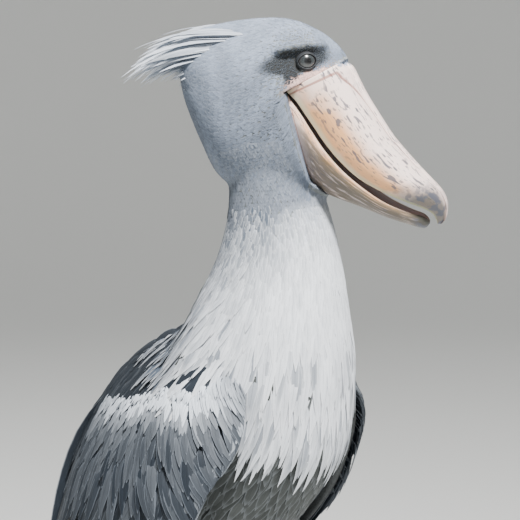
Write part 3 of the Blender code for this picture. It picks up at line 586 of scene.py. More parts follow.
class NodeTree:
    """A thin wrapper that places and links shader nodes."""

    def __init__(self, tree: bpy.types.NodeTree):
        """Wraps a tree."""
        self.tree = tree

    def node(self, kind: str, inputs: Optional[dict] = None, **settings) -> Node:
        """Adds a node.

        Args:
            kind: The node's type name without ShaderNode.
            inputs: Sockets to values, or to the sockets that feed them.
            settings: The node's own properties.

        Returns:
            The node.
        """
        made = self.tree.nodes.new("ShaderNode" + kind)
        for name, value in settings.items():
            setattr(made, name, value)
        self.feed(made, inputs or {})
        return made

    def feed(self, target: Node, inputs: dict) -> None:
        """Gives sockets of a node their values, or links them to the sockets that feed them."""
        for name, value in inputs.items():
            if isinstance(value, Socket):
                self.tree.links.new(value, target.inputs[name])
            else:
                target.inputs[name].default_value = value

    def math(self, operation: str, *values, clamp: bool = False) -> Socket:
        """The result of a Math node on numbers and sockets."""
        made = self.node("Math", dict(enumerate(values)), operation=operation, use_clamp=clamp)
        return made.outputs[0]

    def times(self, first, second, clamp: bool = False) -> Socket:
        """The product of two numbers."""
        return self.math("MULTIPLY", first, second, clamp=clamp)

    def away(self, value: Socket, middle: float) -> Socket:
        """How far a value lies from a middle one."""
        return self.math("ABSOLUTE", self.math("SUBTRACT", value, middle))

    def ramp(self, value: Socket, low: float, high: float) -> Socket:
        """A smooth step of a value from 0 at low to 1 at high."""
        inputs = {"Value": value, "From Min": low, "From Max": high}
        return self.node("MapRange", inputs, interpolation_type="SMOOTHSTEP").outputs[0]

    def mix(self, share, first, second, blend: str = "MIX") -> Socket:
        """A mix of two colours."""
        made = self.node("Mix", data_type="RGBA", blend_type=blend)
        first, second = (
            colour if isinstance(colour, Socket) else (*colour, 1.0)
            for colour in (first, second)
        )
        self.feed(made, {0: share, 6: first, 7: second})
        return made.outputs[2]

    def shaded(self, colour: Socket, shade: Socket) -> Socket:
        """A colour made lighter or darker by a number."""
        grey = self.node("CombineColor", {"Red": shade, "Green": shade, "Blue": shade}).outputs[0]
        return self.mix(1.0, colour, grey, "MULTIPLY")

    def attribute(self, name: str) -> Socket:
        """A number stored on the mesh."""
        return self.node("Attribute", attribute_name=name).outputs["Fac"]

    def place(self) -> Socket:
        """The object's own coordinates."""
        return self.node("TexCoord").outputs["Object"]

    def spot(self, x, y, z=0.0) -> Socket:
        """A place from three numbers."""
        return self.node("CombineXYZ", {"X": x, "Y": y, "Z": z}).outputs[0]

    def noise(
        self, place: Optional[Socket], scale, detail: float, roughness: float = 0.5
    ) -> Socket:
        """Smooth noise from 0 to 1 at a place, or at the usual one where none is given."""
        inputs = {"Scale": scale, "Detail": detail, "Roughness": roughness}
        if place is not None:
            inputs["Vector"] = place
        return self.node("TexNoise", inputs).outputs[0]

    def mottle(self, size: float, strength: float) -> Socket:
        """Unevenness about 1, from the group that the finishes share."""
        inputs = {"Size": size, "Strength": strength}
        return self.node("Group", inputs, node_tree=mottle_group()).outputs["Shade"]

    def bump(self, height: Socket, strength: float, distance: float) -> Socket:
        """The bumped normal of a height."""
        inputs = {"Height": height, "Strength": strength, "Distance": distance}
        return self.node("Bump", inputs).outputs[0]


def new_group(name: str, inputs: Sequence[str], outputs: Sequence[str]) -> tuple:
    """A shader node group of numbers.

    Args:
        name: The group's name.
        inputs: Names of its inputs.
        outputs: Names of its outputs.

    Returns:
        The group, its wrapper, its input node and its output node.
    """
    tree = bpy.data.node_groups.new(name, "ShaderNodeTree")
    for words, way in ((inputs, "INPUT"), (outputs, "OUTPUT")):
        for word in words:
            tree.interface.new_socket(name=word, in_out=way, socket_type="NodeSocketFloat")
    return tree, NodeTree(tree), tree.nodes.new("NodeGroupInput"), tree.nodes.new("NodeGroupOutput")


def vane_group() -> bpy.types.NodeTree:
    """Barbs, shaft and pale edge of a feather from its own along and across coordinates."""
    found = bpy.data.node_groups.get("feather vane")
    if found:
        return found
    names = ("Along", "Across", "Chance", "Slenderness", "Fringe")
    tree, n, start, end = new_group("feather vane", names, ("Edge", "Shaft", "Barbs"))
    along, across, chance, slim, fringe = (start.outputs[k] for k in range(len(names)))
    off = n.math("ABSOLUTE", across)
    tip = n.ramp(along, n.math("ADD", fringe, 0.12), 0.995)
    side = n.ramp(off, fringe, 0.98)
    slant = n.math("SUBTRACT", n.times(along, slim), n.times(off, 1.4))
    spot = n.spot(n.times(slant, 9.0), n.times(across, 0.8), n.times(chance, 31.0))
    n.feed(end, {
        "Edge": n.math("MAXIMUM", tip, side),
        "Shaft": n.math("SUBTRACT", 1.0, n.ramp(off, 0.03, 0.13)),
        "Barbs": n.noise(spot, 1.6, 2.0, 0.6),
    })
    return tree


def mottle_group() -> bpy.types.NodeTree:
    """Soft and fine unevenness over the object's own coordinates, about 1 in the middle."""
    found = bpy.data.node_groups.get("mottle")
    if found:
        return found
    tree, n, start, end = new_group("mottle", ("Size", "Strength"), ("Shade",))
    noise = n.noise(n.place(), n.math("DIVIDE", 1.0, start.outputs["Size"]), 4.0)
    swing = n.times(n.math("SUBTRACT", noise, 0.5), start.outputs["Strength"])
    n.feed(end, {"Shade": n.math("ADD", 1.0, n.times(swing, 2.0))})
    return tree


@dataclass(frozen=True)
class Finish:
    """A named look, made into a material once."""

    name: str

    def material(self) -> bpy.types.Material:
        """The material, built at its first use."""
        made = bpy.data.materials.get(self.name)
        if not made:
            made = bpy.data.materials.new(self.name)
            made.use_nodes = True
            self.fill(NodeTree(made.node_tree), made.node_tree.nodes["Principled BSDF"])
        return made

    def fill(self, n: NodeTree, shader: Node) -> None:
        """Adds the look's nodes and feeds the shader."""
        raise NotImplementedError


@dataclass(frozen=True)
class FeatherFinish(Finish):
    """Feathers: dark to light by their tone, with a pale edge, a shaft line and fine barbs."""

    dark: tuple
    light: tuple
    edge: tuple
    edge_strength: float = 0.5
    shaft_strength: float = 0.35
    slenderness: float = 6.0
    roughness: float = 0.72
    bump: float = 0.25
    fringe: float = 0.62

    def fill(self, n: NodeTree, shader: Node) -> None:
        """Tone, then shaft, then edge, all shaded by the barbs and the mottle."""
        names = ("along", "across", "chance", "tone")
        along, across, chance, tone = (n.attribute(name) for name in names)
        inputs = {"Along": along, "Across": across, "Chance": chance}
        inputs.update({"Slenderness": self.slenderness, "Fringe": self.fringe})
        vane = n.node("Group", inputs, node_tree=vane_group())
        edge, shaft, barbs = (vane.outputs[name] for name in ("Edge", "Shaft", "Barbs"))
        swing = n.times(n.math("SUBTRACT", chance, 0.5), n.times(tone, 0.25))
        colour = n.mix(n.math("ADD", tone, swing, clamp=True), self.dark, self.light)
        darker = tuple(0.45 * c for c in self.dark)
        colour = n.mix(n.times(shaft, self.shaft_strength), colour, darker)
        # Below tone 0 the pale edge fades out, for feathers painted into shade.
        lit = n.math("ADD", 1.0, n.times(tone, 8.0), clamp=True)
        colour = n.mix(n.times(n.times(edge, self.edge_strength), lit), colour, self.edge)
        shade = n.times(n.math("ADD", 0.72, n.times(barbs, 0.56)), n.mottle(0.030, 0.16))
        n.feed(shader, {
            "Base Color": n.shaded(colour, shade),
            "Normal": n.bump(barbs, self.bump, 0.0006),
            "Roughness": self.roughness,
            "Specular IOR Level": 0.25,
        })


MIST = (0.62, 0.68, 0.75)
FRINGE = (0.50, 0.545, 0.60)

HEAD_DOWN = FeatherFinish(
    "head feathers", (0.016, 0.021, 0.028), (0.34, 0.41, 0.54), MIST,
    edge_strength=0.12, shaft_strength=0.05, slenderness=4.0, bump=0.3)
NECK_DOWN = FeatherFinish(
    "neck feathers", (0.060, 0.080, 0.115), (0.68, 0.73, 0.81), MIST,
    edge_strength=0.14, shaft_strength=0.05, slenderness=5.0, bump=0.3)
BIB_PLUMES = FeatherFinish(
    "breast plumes", (0.080, 0.105, 0.145), (0.80, 0.84, 0.90), (0.90, 0.93, 0.97),
    edge_strength=0.42, shaft_strength=0.30, slenderness=14.0)
WING_VANES = FeatherFinish(
    "wing feathers", (0.015, 0.021, 0.030), (0.64, 0.70, 0.78), (0.27, 0.31, 0.37),
    edge_strength=0.40, slenderness=8.0, roughness=0.66, fringe=0.80)
FLIGHT_VANES = FeatherFinish(
    "flight feathers", (0.012, 0.017, 0.024), (0.085, 0.107, 0.14), FRINGE,
    edge_strength=0.55, shaft_strength=0.55, slenderness=14.0, roughness=0.55, fringe=0.84)
# Dark grey-brown: the pale grey belly and thighs darkened with painted shade under the breast
# plumes and wings.
SHADED_BODY_DOWN = FeatherFinish(
    "body feathers", (0.018, 0.021, 0.020), (0.22, 0.24, 0.24), FRINGE,
    edge_strength=0.18, shaft_strength=0.20)
CREST_STRANDS = FeatherFinish(
    "crest feathers", (0.20, 0.235, 0.29), (0.52, 0.57, 0.65), (0.74, 0.79, 0.86),
    edge_strength=0.55, shaft_strength=0.20, slenderness=14.0, fringe=0.55)


@dataclass(frozen=True)
class SkinFinish(Finish):
    """Skin under the feathers, toned as they are, and bare skin."""

    dark: tuple
    light: tuple
    roughness: float = 0.7
    grain: float = 0.004
    bump: float = 0.5
    toned: bool = True
    bare: tuple = (0.62, 0.42, 0.38)

    def fill(self, n: NodeTree, shader: Node) -> None:
        """Tone or mottle, then bare skin, all creased in small cells."""
        mottle = n.mottle(self.grain * 4, 0.30)
        inputs = {"Vector": n.place(), "Scale": 1.0 / self.grain, "Randomness": 0.8}
        cells = n.node("TexVoronoi", inputs).outputs["Distance"]
        share = n.attribute("tone") if self.toned else n.ramp(mottle, 0.6, 1.4)
        colour = n.mix(share, self.dark, self.light)
        if self.toned:
            colour = n.mix(n.attribute("bare"), colour, self.bare)
        crease = n.ramp(cells, 0.75, 0.35)
        shade = n.times(mottle, n.math("ADD", 0.72, n.times(crease, 0.28)))
        n.feed(shader, {
            "Base Color": n.shaded(colour, shade),
            "Normal": n.bump(crease, self.bump, self.grain * 0.25),
            "Roughness": self.roughness,
        })


SKIN = SkinFinish("plumage skin", (0.0, 0.0, 0.0), (0.90, 1.0, 1.04), 0.85, 0.0022)
LEG_SKIN = SkinFinish(
    "leg skin", (0.016, 0.018, 0.020), (0.070, 0.078, 0.082), 0.55, 0.0032, 0.8, toned=False)
LID_SKIN = SkinFinish(
    "lid skin", (0.010, 0.012, 0.015), (0.036, 0.042, 0.050), 0.60, 0.0012, 0.5, toned=False)
CLAW_HORN = SkinFinish(
    "claw horn", (0.010, 0.010, 0.011), (0.035, 0.034, 0.033), 0.35, 0.003, 0.1, toned=False)


@dataclass(frozen=True)
class BillFinish(Finish):
    """Bill horn: cream to peach, speckled along its length, dark at slits, hook and inside."""

    name: str = "bill horn"
    cream: tuple = (0.90, 0.74, 0.69)
    peach: tuple = (0.80, 0.42, 0.19)
    rim: tuple = (0.42, 0.43, 0.24)
    shaded_olive: tuple = (0.060, 0.046, 0.020)
    fold: tuple = (0.27, 0.095, 0.070)
    speck: tuple = (0.080, 0.086, 0.115)
    inside: tuple = (0.32, 0.18, 0.16)
    tip: tuple = (0.062, 0.062, 0.052)

    def fill(self, n: NodeTree, shader: Node) -> None:
        """Base colour, then olive patches with painted shade, specks, hook with painted shade under
        it, rim, folds and slits over it.
        """
        names = ("run", "girth", "warm", "edge_place", "off_groove", "hook", "olive_and_shade")
        run, girth, warm, edge, off_groove, hook, olive_and_shade = (n.attribute(name) for name in names)
        place = n.place()
        cloud = n.noise(place, 22.0, 3.0)

        def streaks(round_it: float, along_it: float) -> Socket:
            """A place for noise that is finer round the bill than along it."""
            return n.spot(n.times(girth, round_it), n.times(run, along_it))

        warmth = n.times(n.times(warm, 1.3), n.ramp(cloud, 0.24, 0.64), clamp=True)
        colour = n.mix(warmth, self.cream, self.peach)
        # Olive patches, strongest on the lower half's underside: the horn's own olive with painted
        # shade.
        olive_noise = n.noise(streaks(26.0, 7.0), 1.0, 4.0, 0.6)
        patches = n.times(olive_and_shade, n.ramp(olive_noise, 0.20, 0.50))
        colour = n.mix(n.times(patches, 0.93), colour, self.shaded_olive)
        below_rim = n.math("SUBTRACT", n.ramp(edge, 0.70, 0.62), n.times(olive_and_shade, 0.6), clamp=True)
        for scale, low, strength in ((1.5, 0.590, 0.85), (2.8, 0.60, 0.65)):
            spots = n.noise(streaks(24.0 * scale, 12.0 * scale), 1.0, 1.0, 0.4)
            specks = n.times(n.ramp(spots, low, low + 0.045), n.ramp(cloud, 0.40, 0.50))
            colour = n.mix(n.times(specks, n.times(below_rim, strength)), colour, self.speck)
        # Dark hook: its own dark horn, with painted shade on the upper hook's sides and underside.
        colour = n.mix(n.times(hook, 0.88), colour, self.tip)
        blots = n.ramp(n.noise(place, 105.0, 2.0), 0.46, 0.56)
        colour = n.mix(n.times(blots, n.times(hook, 0.9)), colour, self.speck)
        colour = n.mix(n.times(n.ramp(edge, 0.66, 0.72), 0.6), colour, self.rim)
        line = n.ramp(n.away(run, 0.029), 0.0085, 0.0035)
        crease = n.times(line, n.ramp(n.math("ABSOLUTE", girth), 0.395, 0.425))
        fading = n.times(n.ramp(off_groove, 0.020, 0.006), n.ramp(run, 0.85, 0.10))
        past = n.times(fading, n.ramp(run, 0.018, 0.030))
        colour = n.mix(n.times(n.math("MAXIMUM", crease, past), 0.75), colour, self.fold)
        slit = n.times(n.ramp(off_groove, 0.013, 0.006), n.ramp(n.away(run, 0.062), 0.040, 0.030))
        colour = n.mix(slit, colour, self.inside)
        colour = n.mix(n.ramp(edge, 0.77, 0.80), colour, self.inside)
        grain = n.noise(streaks(90.0, 6.0), 1.0, 3.0)
        n.feed(shader, {
            "Base Color": colour,
            "Normal": n.bump(n.math("ADD", grain, n.times(cloud, 1.5)), 0.30, 0.0010),
            "Roughness": n.math("ADD", 0.34, n.times(grain, 0.22)),
            "Subsurface Weight": 0.08,
            "Subsurface Radius": (0.006, 0.003, 0.002),
        })


@dataclass(frozen=True)
class EyeFinish(Finish):
    """The eye: dark pupil, grey iris with fine rays darkened with painted shade, dark edge, all
    under a clear coat.
    """

    name: str = "eye gloss"
    # Iris and rays far darker than the bird's pale grey iris: painted shade of the eye's hollow.
    iris: tuple = (0.036, 0.043, 0.046)
    ray: tuple = (0.018, 0.022, 0.025)
    pupil: tuple = (0.004, 0.004, 0.005)
    edge: tuple = (0.030, 0.030, 0.032)

    def fill(self, n: NodeTree, shader: Node) -> None:
        """Iris with its rays, then the dark edge and the pupil."""
        off, spoke = n.attribute("off_axis"), n.attribute("spoke")
        rays = n.noise(n.spot(n.times(spoke, 40.0), n.times(off, 6.0)), 1.2, 3.0)
        colour = n.mix(n.ramp(rays, 0.42, 0.66), self.iris, self.ray)
        colour = n.mix(n.ramp(off, 0.58, 0.74), colour, self.edge)
        colour = n.mix(n.ramp(off, 0.37, 0.33), colour, self.pupil)
        inputs = {"Base Color": colour, "Roughness": 0.25}
        n.feed(shader, {**inputs, "Coat Weight": 1.0, "Coat Roughness": 0.02})


@dataclass(frozen=True)
class FloorFinish(Finish):
    """A plain pale studio floor."""

    name: str = "studio floor"
    colour: tuple = (0.74, 0.75, 0.74)

    def fill(self, n: NodeTree, shader: Node) -> None:
        """A faint cloudiness."""
        lighter = tuple(c * 1.04 for c in self.colour)
        colour = n.mix(n.noise(None, 3.0, 2.0), self.colour, lighter)
        n.feed(shader, {"Base Color": colour, "Roughness": 0.9})


# Feathers


@dataclass(frozen=True)
class Plume:
    """The size and cut of one kind of feather, in metres."""

    length: float
    half_width: float
    outline: Outline
    rows: int = 6
    columns: int = 3
    lifts: tuple = (-0.0020, 0.0006, 0.0018, 0.0026)
    arch: float = 0.10
    tilt: float = 0.10
    thickness: float = 0.0005
    wander: float = 0.10
    vary: float = 0.14
    fray: float = 0.06

    @property
    def runs(self) -> Array:
        """Where its cross rows lie, closer towards the tip."""
        return np.linspace(0.0, 1.0, self.rows) ** 0.85

    @property
    def across(self) -> Array:
        """Where its columns lie, from -1 to 1."""
        return np.linspace(-1.0, 1.0, self.columns)

    @property
    def shares(self) -> Array:
        """Its share of the half width at each row."""
        knots = [(value,) for value in self.outline.value]
        return curve(knots, self.runs * (len(knots) - 1))[:, 0]

    def lean(self, half: Array) -> Array:
        """How far each column stands up from the sheet: tilted, and arched over the shaft."""
        return self.tilt * half * self.across + self.arch * half * (1.0 - self.across ** 2)


class Snap:
    """Pulls points onto a made surface: to the nearest place, or to the outermost from outside."""

    def __init__(self, *objects: Object, outermost: bool = False, reach: float = 0.06):
        """Keeps the surfaces of the objects, and how far from them points may lie."""
        bm = bmesh.new()
        for obj in objects:
            bm.from_mesh(obj.data)
        self.tree = BVHTree.FromBMesh(bm)
        bm.free()
        self.outermost = outermost
        self.reach = reach

    def __call__(self, points: Array, normals: Array) -> tuple[Array, Array]:
        """Moved points with the surface's own normals there.

        Args:
            points: Where the feather would lie on its plain sheet.
            normals: The sheet's outward directions.

        Returns:
            The points on the surface, and its normals.
        """
        shape = points.shape
        flat, out = points.reshape(-1, 3).copy(), normals.reshape(-1, 3).copy()
        for k, (point, normal) in enumerate(zip(flat, out)):
            if self.outermost:
                start = point + normal * self.reach
                found = self.tree.ray_cast(Vector(start), Vector(-normal), 2 * self.reach)
            else:
                found = self.tree.find_nearest(Vector(point), self.reach)
            hit, facing = found[:2]
            if hit is not None:
                flat[k] = hit
                mean = normal + np.array(facing)
                out[k] = mean / max(np.linalg.norm(mean), 1e-9)
        return flat.reshape(shape), out.reshape(shape)


ROW_SAMPLES = 61
ROW_JITTER = 0.22
ROW_SHIFT = 0.25


def rows_on(
    surface: Surface, a_span: tuple, b_span: tuple, row_gap: float, gap: float,
    rng: np.random.Generator,
) -> Array:
    """Roots of feathers in staggered rows.

    Args:
        surface: The sheet they grow on.
        a_span: First and last row.
        b_span: Ends of each row.
        row_gap: Metres between rows.
        gap: Metres between neighbours in a row.
        rng: Source of the small differences.

    Returns:
        One (a, b) for each feather.
    """
    roots = []
    a, last = a_span
    way = 1.0 if last > a else -1.0
    across = np.linspace(*b_span, ROW_SAMPLES)
    odd = False
    while (last - a) * way > 0:
        row = np.full(ROW_SAMPLES, a)
        spots = surface.at(row, across)
        arc = np.concatenate([[0.0], np.cumsum(np.linalg.norm(np.diff(spots, axis=0), axis=1))])
        count = max(2, int(arc[-1] / gap))
        at = np.arange(count) + (0.25 if odd else 0.75)
        at = (at + rng.uniform(-ROW_JITTER, ROW_JITTER, count)) / count
        step = row_gap / np.linalg.norm(surface.slopes(row, across)[0], axis=1).mean()
        shift = rng.uniform(-ROW_SHIFT, ROW_SHIFT, count) * step
        roots.append(np.column_stack([a + shift, np.interp(at * arc[-1], arc, across)]))
        a += way * step
        odd = not odd
    return np.concatenate(roots)


def per_feather(values: Array, count: int) -> Array:
    """One number for each feather, or one for all, to go with their rows and columns."""
    return np.broadcast_to(values, (count,))[:, None, None]


def flow(surface: Surface, roots: Array, lengths: Array, heading: Array, runs: Array) -> Array:
    """Paths of feathers that run from their roots along a surface.

    Args:
        surface: The sheet.
        roots: One (a, b) for each feather.
        lengths: Their lengths.
        heading: Their directions, as shares along a and b.
        runs: Where the path is read, from 0 to 1.

    Returns:
        An (a, b) for each feather and run.
    """
    a, b = roots[:, 0].copy(), roots[:, 1].copy()
    path = [np.column_stack([a, b])]
    for near, far in zip(runs[:-1], runs[1:]):
        along, across = surface.slopes(a, b)
        step = lengths * (far - near)
        a = a + heading[:, 0] * step / np.maximum(np.linalg.norm(along, axis=1), 1e-4)
        b = b + heading[:, 1] * step / np.maximum(np.linalg.norm(across, axis=1), 1e-4)
        path.append(np.column_stack([a, b]))
    return np.stack(path, axis=1)


# Each feather's patch on the unwrap: width for one unit across, height
PATCH_SIZE = (0.0015, 0.0030)
SHARP_ANGLE = math.radians(50.0)


@dataclass
class Coat:
    """Feathers of one finish, joined into one mesh."""

    name: str
    finish: FeatherFinish
    rng: np.random.Generator
    parts: list = field(default_factory=list)
    roots: list = field(default_factory=list)

    def grow(
        self, surface: Surface, roots: Array, heading: Array, lengths: Array, plume: Plume,
        tone: Array, a_limits: Optional[tuple] = None, **laying,
    ) -> None:
        """Adds feathers that run from their roots along a surface.

        Args:
            surface: The sheet they lie on.
            roots: One (a, b) for each feather.
            heading: Their directions, as shares along a and b.
            lengths: Their lengths.
            plume: Their kind.
            tone: How light each is, from 0 to 1.
            a_limits: Ends of the sheet that they don't pass, if given.
            laying: What `lay` takes besides.
        """
        paths = flow(surface, roots, lengths, heading, plume.runs)
        if a_limits:
            paths[..., 0] = np.clip(paths[..., 0], *a_limits)
        self.lay(surface, paths, plume, tone, **laying)

    def lay(
        self, surface: Surface, paths: Array, plume: Plume, tone: Array,
        snap: Optional[Snap] = None, b_limits: Optional[tuple] = None,
        lift: Array = 0.0, size: Array = 1.0, puff: Array = 1.0,
    ) -> None:
        """Adds feathers bent to a surface.

        Args:
            surface: The sheet they lie on.
            paths: An (a, b) for each feather and row.
            plume: Their kind.
            tone: How light each is, from 0 to 1.
            snap: Pulls them onto a made surface, if given.
            b_limits: Edges that they don't pass, if given.
            lift: Metres added above the surface.
            size: How wide each is beside its kind.
            puff: How high each stands beside its kind.
        """
        count, rows = paths.shape[:2]
        size = per_feather(size, count)
        vary = size[:, 0] * (1.0 + self.rng.uniform(-plume.vary, plume.vary, (count, 1)))
        a, b = paths[..., 0], paths[..., 1]
        _, across = surface.slopes(a, b)
        fray = 1.0 + self.rng.uniform(-plume.fray, plume.fray, (count, rows, plume.columns))
        reach = plume.half_width * plume.shares[None, :] * vary / np.linalg.norm(across, axis=-1)
        b_wide = b[..., None] + reach[..., None] * plume.across * fray
        if b_limits:
            b_wide = np.clip(b_wide, *b_limits)
        a_wide = np.broadcast_to(a[..., None], b_wide.shape)
        points, normals = surface.at(a_wide, b_wide), surface.normal(a_wide, b_wide)
        if snap:
            points, normals = snap(points, normals)
        rise = np.interp(plume.runs, np.linspace(0, 1, len(plume.lifts)), plume.lifts)
        rise = rise[None, :, None]
        puff = per_feather(puff, count) * (1.0 + self.rng.uniform(-0.25, 0.35, (count, 1, 1)))
        rise = rise * np.where(rise > 0, puff, 1.0) + per_feather(lift, count)
        height = rise + plume.lean(plume.half_width * plume.shares[None, :, None] * size)
        middle = plume.columns // 2
        spine, facing = points[:, :, middle], normals[:, :, middle]
        top = points + normals * height[..., None]
        under = spine + facing * (height - plume.thickness)[..., middle, None]
        self._add(top, under, plume, tone, surface.unwrap(a[:, 0], b[:, 0]), facing)

    def sweep(
        self, centres: Array, sides: Array, normals: Array, plume: Plume, tone: Array, flat: Array
    ) -> None:
        """Adds feathers along free lines.

        Args:
            centres: A point for each feather and row.
            sides: Directions across them.
            normals: Directions out of their upper face.
            plume: Their kind.
            tone: How light each is.
            flat: Places of their roots on the unwrap.
        """
        half = plume.half_width * plume.shares[None, :, None]
        half = half * (1.0 + self.rng.uniform(-plume.vary, plume.vary, (len(centres), 1, 1)))
        lean = plume.lean(half)
        top = centres[:, :, None] + sides[:, :, None] * (half * plume.across)[..., None]
        top = top + normals[:, :, None] * lean[..., None]
        under = centres + normals * (lean[:, :, plume.columns // 2] - plume.thickness)[..., None]
        self._add(top, under, plume, tone, flat, normals)

    def _add(
        self, top: Array, under: Array, plume: Plume, tone: Array, flat: Array, normals: Array
    ) -> None:
        """Keeps one batch: its rings of points, its faces and its numbers for each point."""
        count, rows, columns = top.shape[:3]
        rings = np.concatenate([top, under[:, :, None]], axis=2)
        sides = columns + 1
        quads = []
        for r in range(rows - 1):
            for k in range(sides):
                near, after = r * sides + k, r * sides + (k + 1) % sides
                quads.append((near, after, after + sides, near + sides))
        last = (rows - 1) * sides
        caps = [tuple(range(sides)), tuple(last + k for k in reversed(range(sides)))]
        wide = top[:, rows // 2, -1] - top[:, rows // 2, 0]
        ahead = top[:, rows // 2 + 1, columns // 2] - top[:, rows // 2, columns // 2]
        if (np.cross(wide, ahead) * normals[:, rows // 2]).sum(axis=1).mean() < 0:
            quads = [q[::-1] for q in quads]
            caps = [c[::-1] for c in caps]
        lateral = np.append(np.linspace(-1, 1, columns), 0.0)
        shape = (count, rows, sides)
        kinds = (plume.runs[None, :, None], lateral, per_feather(self.rng.random(count), count),
                 per_feather(tone, count))
        numbers = [np.broadcast_to(kind, shape) for kind in kinds]
        along, across = numbers[:2]
        patch = np.stack([across * PATCH_SIZE[0], (along - 0.5) * PATCH_SIZE[1]], axis=-1)
        patch = (patch + flat[:, None, None, :]).reshape(-1, 2)
        numbers = [kind.reshape(-1) for kind in numbers]
        self.parts.append((rings.reshape(-1, 3), count, rows * sides, quads, caps, numbers, patch))
        dark, light = self.finish.dark[1], self.finish.light[1]
        shade = dark + (light - dark) * np.broadcast_to(tone, (count,))
        self.roots.append(np.column_stack([under[:, rows // 3], shade]))

    def make(self) -> Object:
        """The joined mesh as an object."""
        corners, sizes, verts, patches = [], [], [], []
        numbers: list = [[], [], [], []]
        base = 0
        for points, count, per, quads, caps, values, patch in self.parts:
            offsets = (base + np.arange(count) * per)[:, None]
            for faces in (quads, caps):
                block = np.array(faces)
                corners.append((offsets[..., None] + block[None]).reshape(-1))
                sizes.append(np.full(count * len(block), block.shape[1]))
            verts.append(points)
            patches.append(patch)
            for kept, value in zip(numbers, values):
                kept.append(value)
            base += count * per
        corners, sizes = np.concatenate(corners), np.concatenate(sizes)
        starts = np.concatenate([[0], np.cumsum(sizes)[:-1]])
        mesh = bpy.data.meshes.new(self.name)
        mesh.vertices.add(base)
        mesh.loops.add(len(corners))
        mesh.polygons.add(len(sizes))
        mesh.vertices.foreach_set("co", np.concatenate(verts).astype(np.float32).ravel())
        mesh.loops.foreach_set("vertex_index", corners.astype(np.int32))
        mesh.polygons.foreach_set("loop_start", starts.astype(np.int32))
        mesh.update(calc_edges=True)
        for word, value in zip(("along", "across", "chance", "tone"), numbers):
            add_attribute(mesh, word, np.concatenate(value))
        layer = mesh.uv_layers.new(name="OFBake")
        layer.data.foreach_set("uv", np.concatenate(patches)[corners].astype(np.float32).ravel())
        mesh.shade_smooth()
        mesh.set_sharp_from_angle(angle=SHARP_ANGLE)
        mesh.materials.append(self.finish.material())
        return link(self.name, mesh)


def steered(
    count: int, along: float, across: Array, wander: float, rng: np.random.Generator
) -> Array:
    """Headings along a and b, each turned a little at random."""
    angle = rng.normal(0.0, wander, count)
    base = unit(np.column_stack([np.full(count, along), np.broadcast_to(across, (count,))]))
    s, c = np.sin(angle), np.cos(angle)
    return np.column_stack([base[:, 0] * c - base[:, 1] * s, base[:, 0] * s + base[:, 1] * c])


# The bird's sub-assemblies


@dataclass
class Skin:
    """One skin under all the feathers: torso, neck, head, brows and thighs."""

    voxel: float = 0.0040
    smoothing: int = 6
    brow_radii: tuple = (0.034, 0.0070, 0.0110)
    brow_place: tuple = (-0.004, 0.0, -0.004)
    brow_lift: float = 0.0165
    hollow_radii: tuple = (0.0260, 0.0142, 0.0090)
    hollow_place: tuple = (-0.005, 0.0, 0.0130)

    def build(self) -> Object:
        """The skin, a coat's depth inside the outline, cut away for the bill and the eyes."""
        whole = bmesh.new()
        for form in self._forms():
            join(whole, form)
        skin = remeshed(add_object("skin", whole), self.voxel, self.smoothing)
        for side in Side:
            place = eye_frame(side) @ Matrix.Translation(self.hollow_place)
            cut(skin, add_object("hollow", ellipsoid(self.hollow_radii, place)))
        cut(skin, self._wedge())
        skin.data.shade_smooth()
        skin.data.materials.clear()
        skin.data.materials.append(SKIN.material())
        return skin

    def _forms(self) -> list:
        """Closed forms that the skin is made of."""
        forms = [
            self._form(BODY, COAT_DEPTH, 72, 90),
            self._form(HEAD, HEAD_COAT_DEPTH, 72, 60),
        ]
        for side in Side:
            forms.append(self._form(ThighSurface(side), COAT_DEPTH, 40, 40))
            place = eye_frame(side) @ Matrix.Translation(self.brow_place)
            lift = Matrix.Translation((0.0, 0.0, self.brow_lift))
            forms.append(ellipsoid(self.brow_radii, lift @ place))
        return forms

    @staticmethod
    def _form(surface: Surface, depth: float, around: int, along: int) -> BMesh:
        """A surface as a closed form, so deep under it."""
        last = surface.spans[0][1]

        def place(turn: Array, run: Array) -> Array:
            """Points under the surface."""
            return surface.raised(run * last, turn, -depth)

        return closed_tube(place, around, along)

    def _wedge(self) -> Object:
        """A wedge in the head's side view, its inner corner at the gape."""
        gape, culmen, chin = (np.array(spot) for spot in (GAPE_CORNER, CULMEN_BASE, CHIN_BASE))
        culmen, throat = culmen + (culmen - gape) * 0.8, gape + 0.915 * (chin - gape)
        outline = (gape, culmen, (0.25, 1.10), (0.25, 0.96), (0.085, 0.966), throat)
        half_width = 0.09
        bm = bmesh.new()
        corners = [head_turned(world(f, u, -half_width)) for f, u in outline]
        face = bm.faces.new([bm.verts.new(corner) for corner in corners])
        grown = bmesh.ops.extrude_face_region(bm, geom=[face])
        moved = [v for v in grown["geom"] if isinstance(v, bmesh.types.BMVert)]
        across = Vector((math.cos(HEAD_TURN), math.sin(HEAD_TURN), 0.0)) * (2 * half_width)
        bmesh.ops.translate(bm, verts=moved, vec=across)
        bmesh.ops.recalc_face_normals(bm, faces=bm.faces)
        return add_object("wedge", bm)


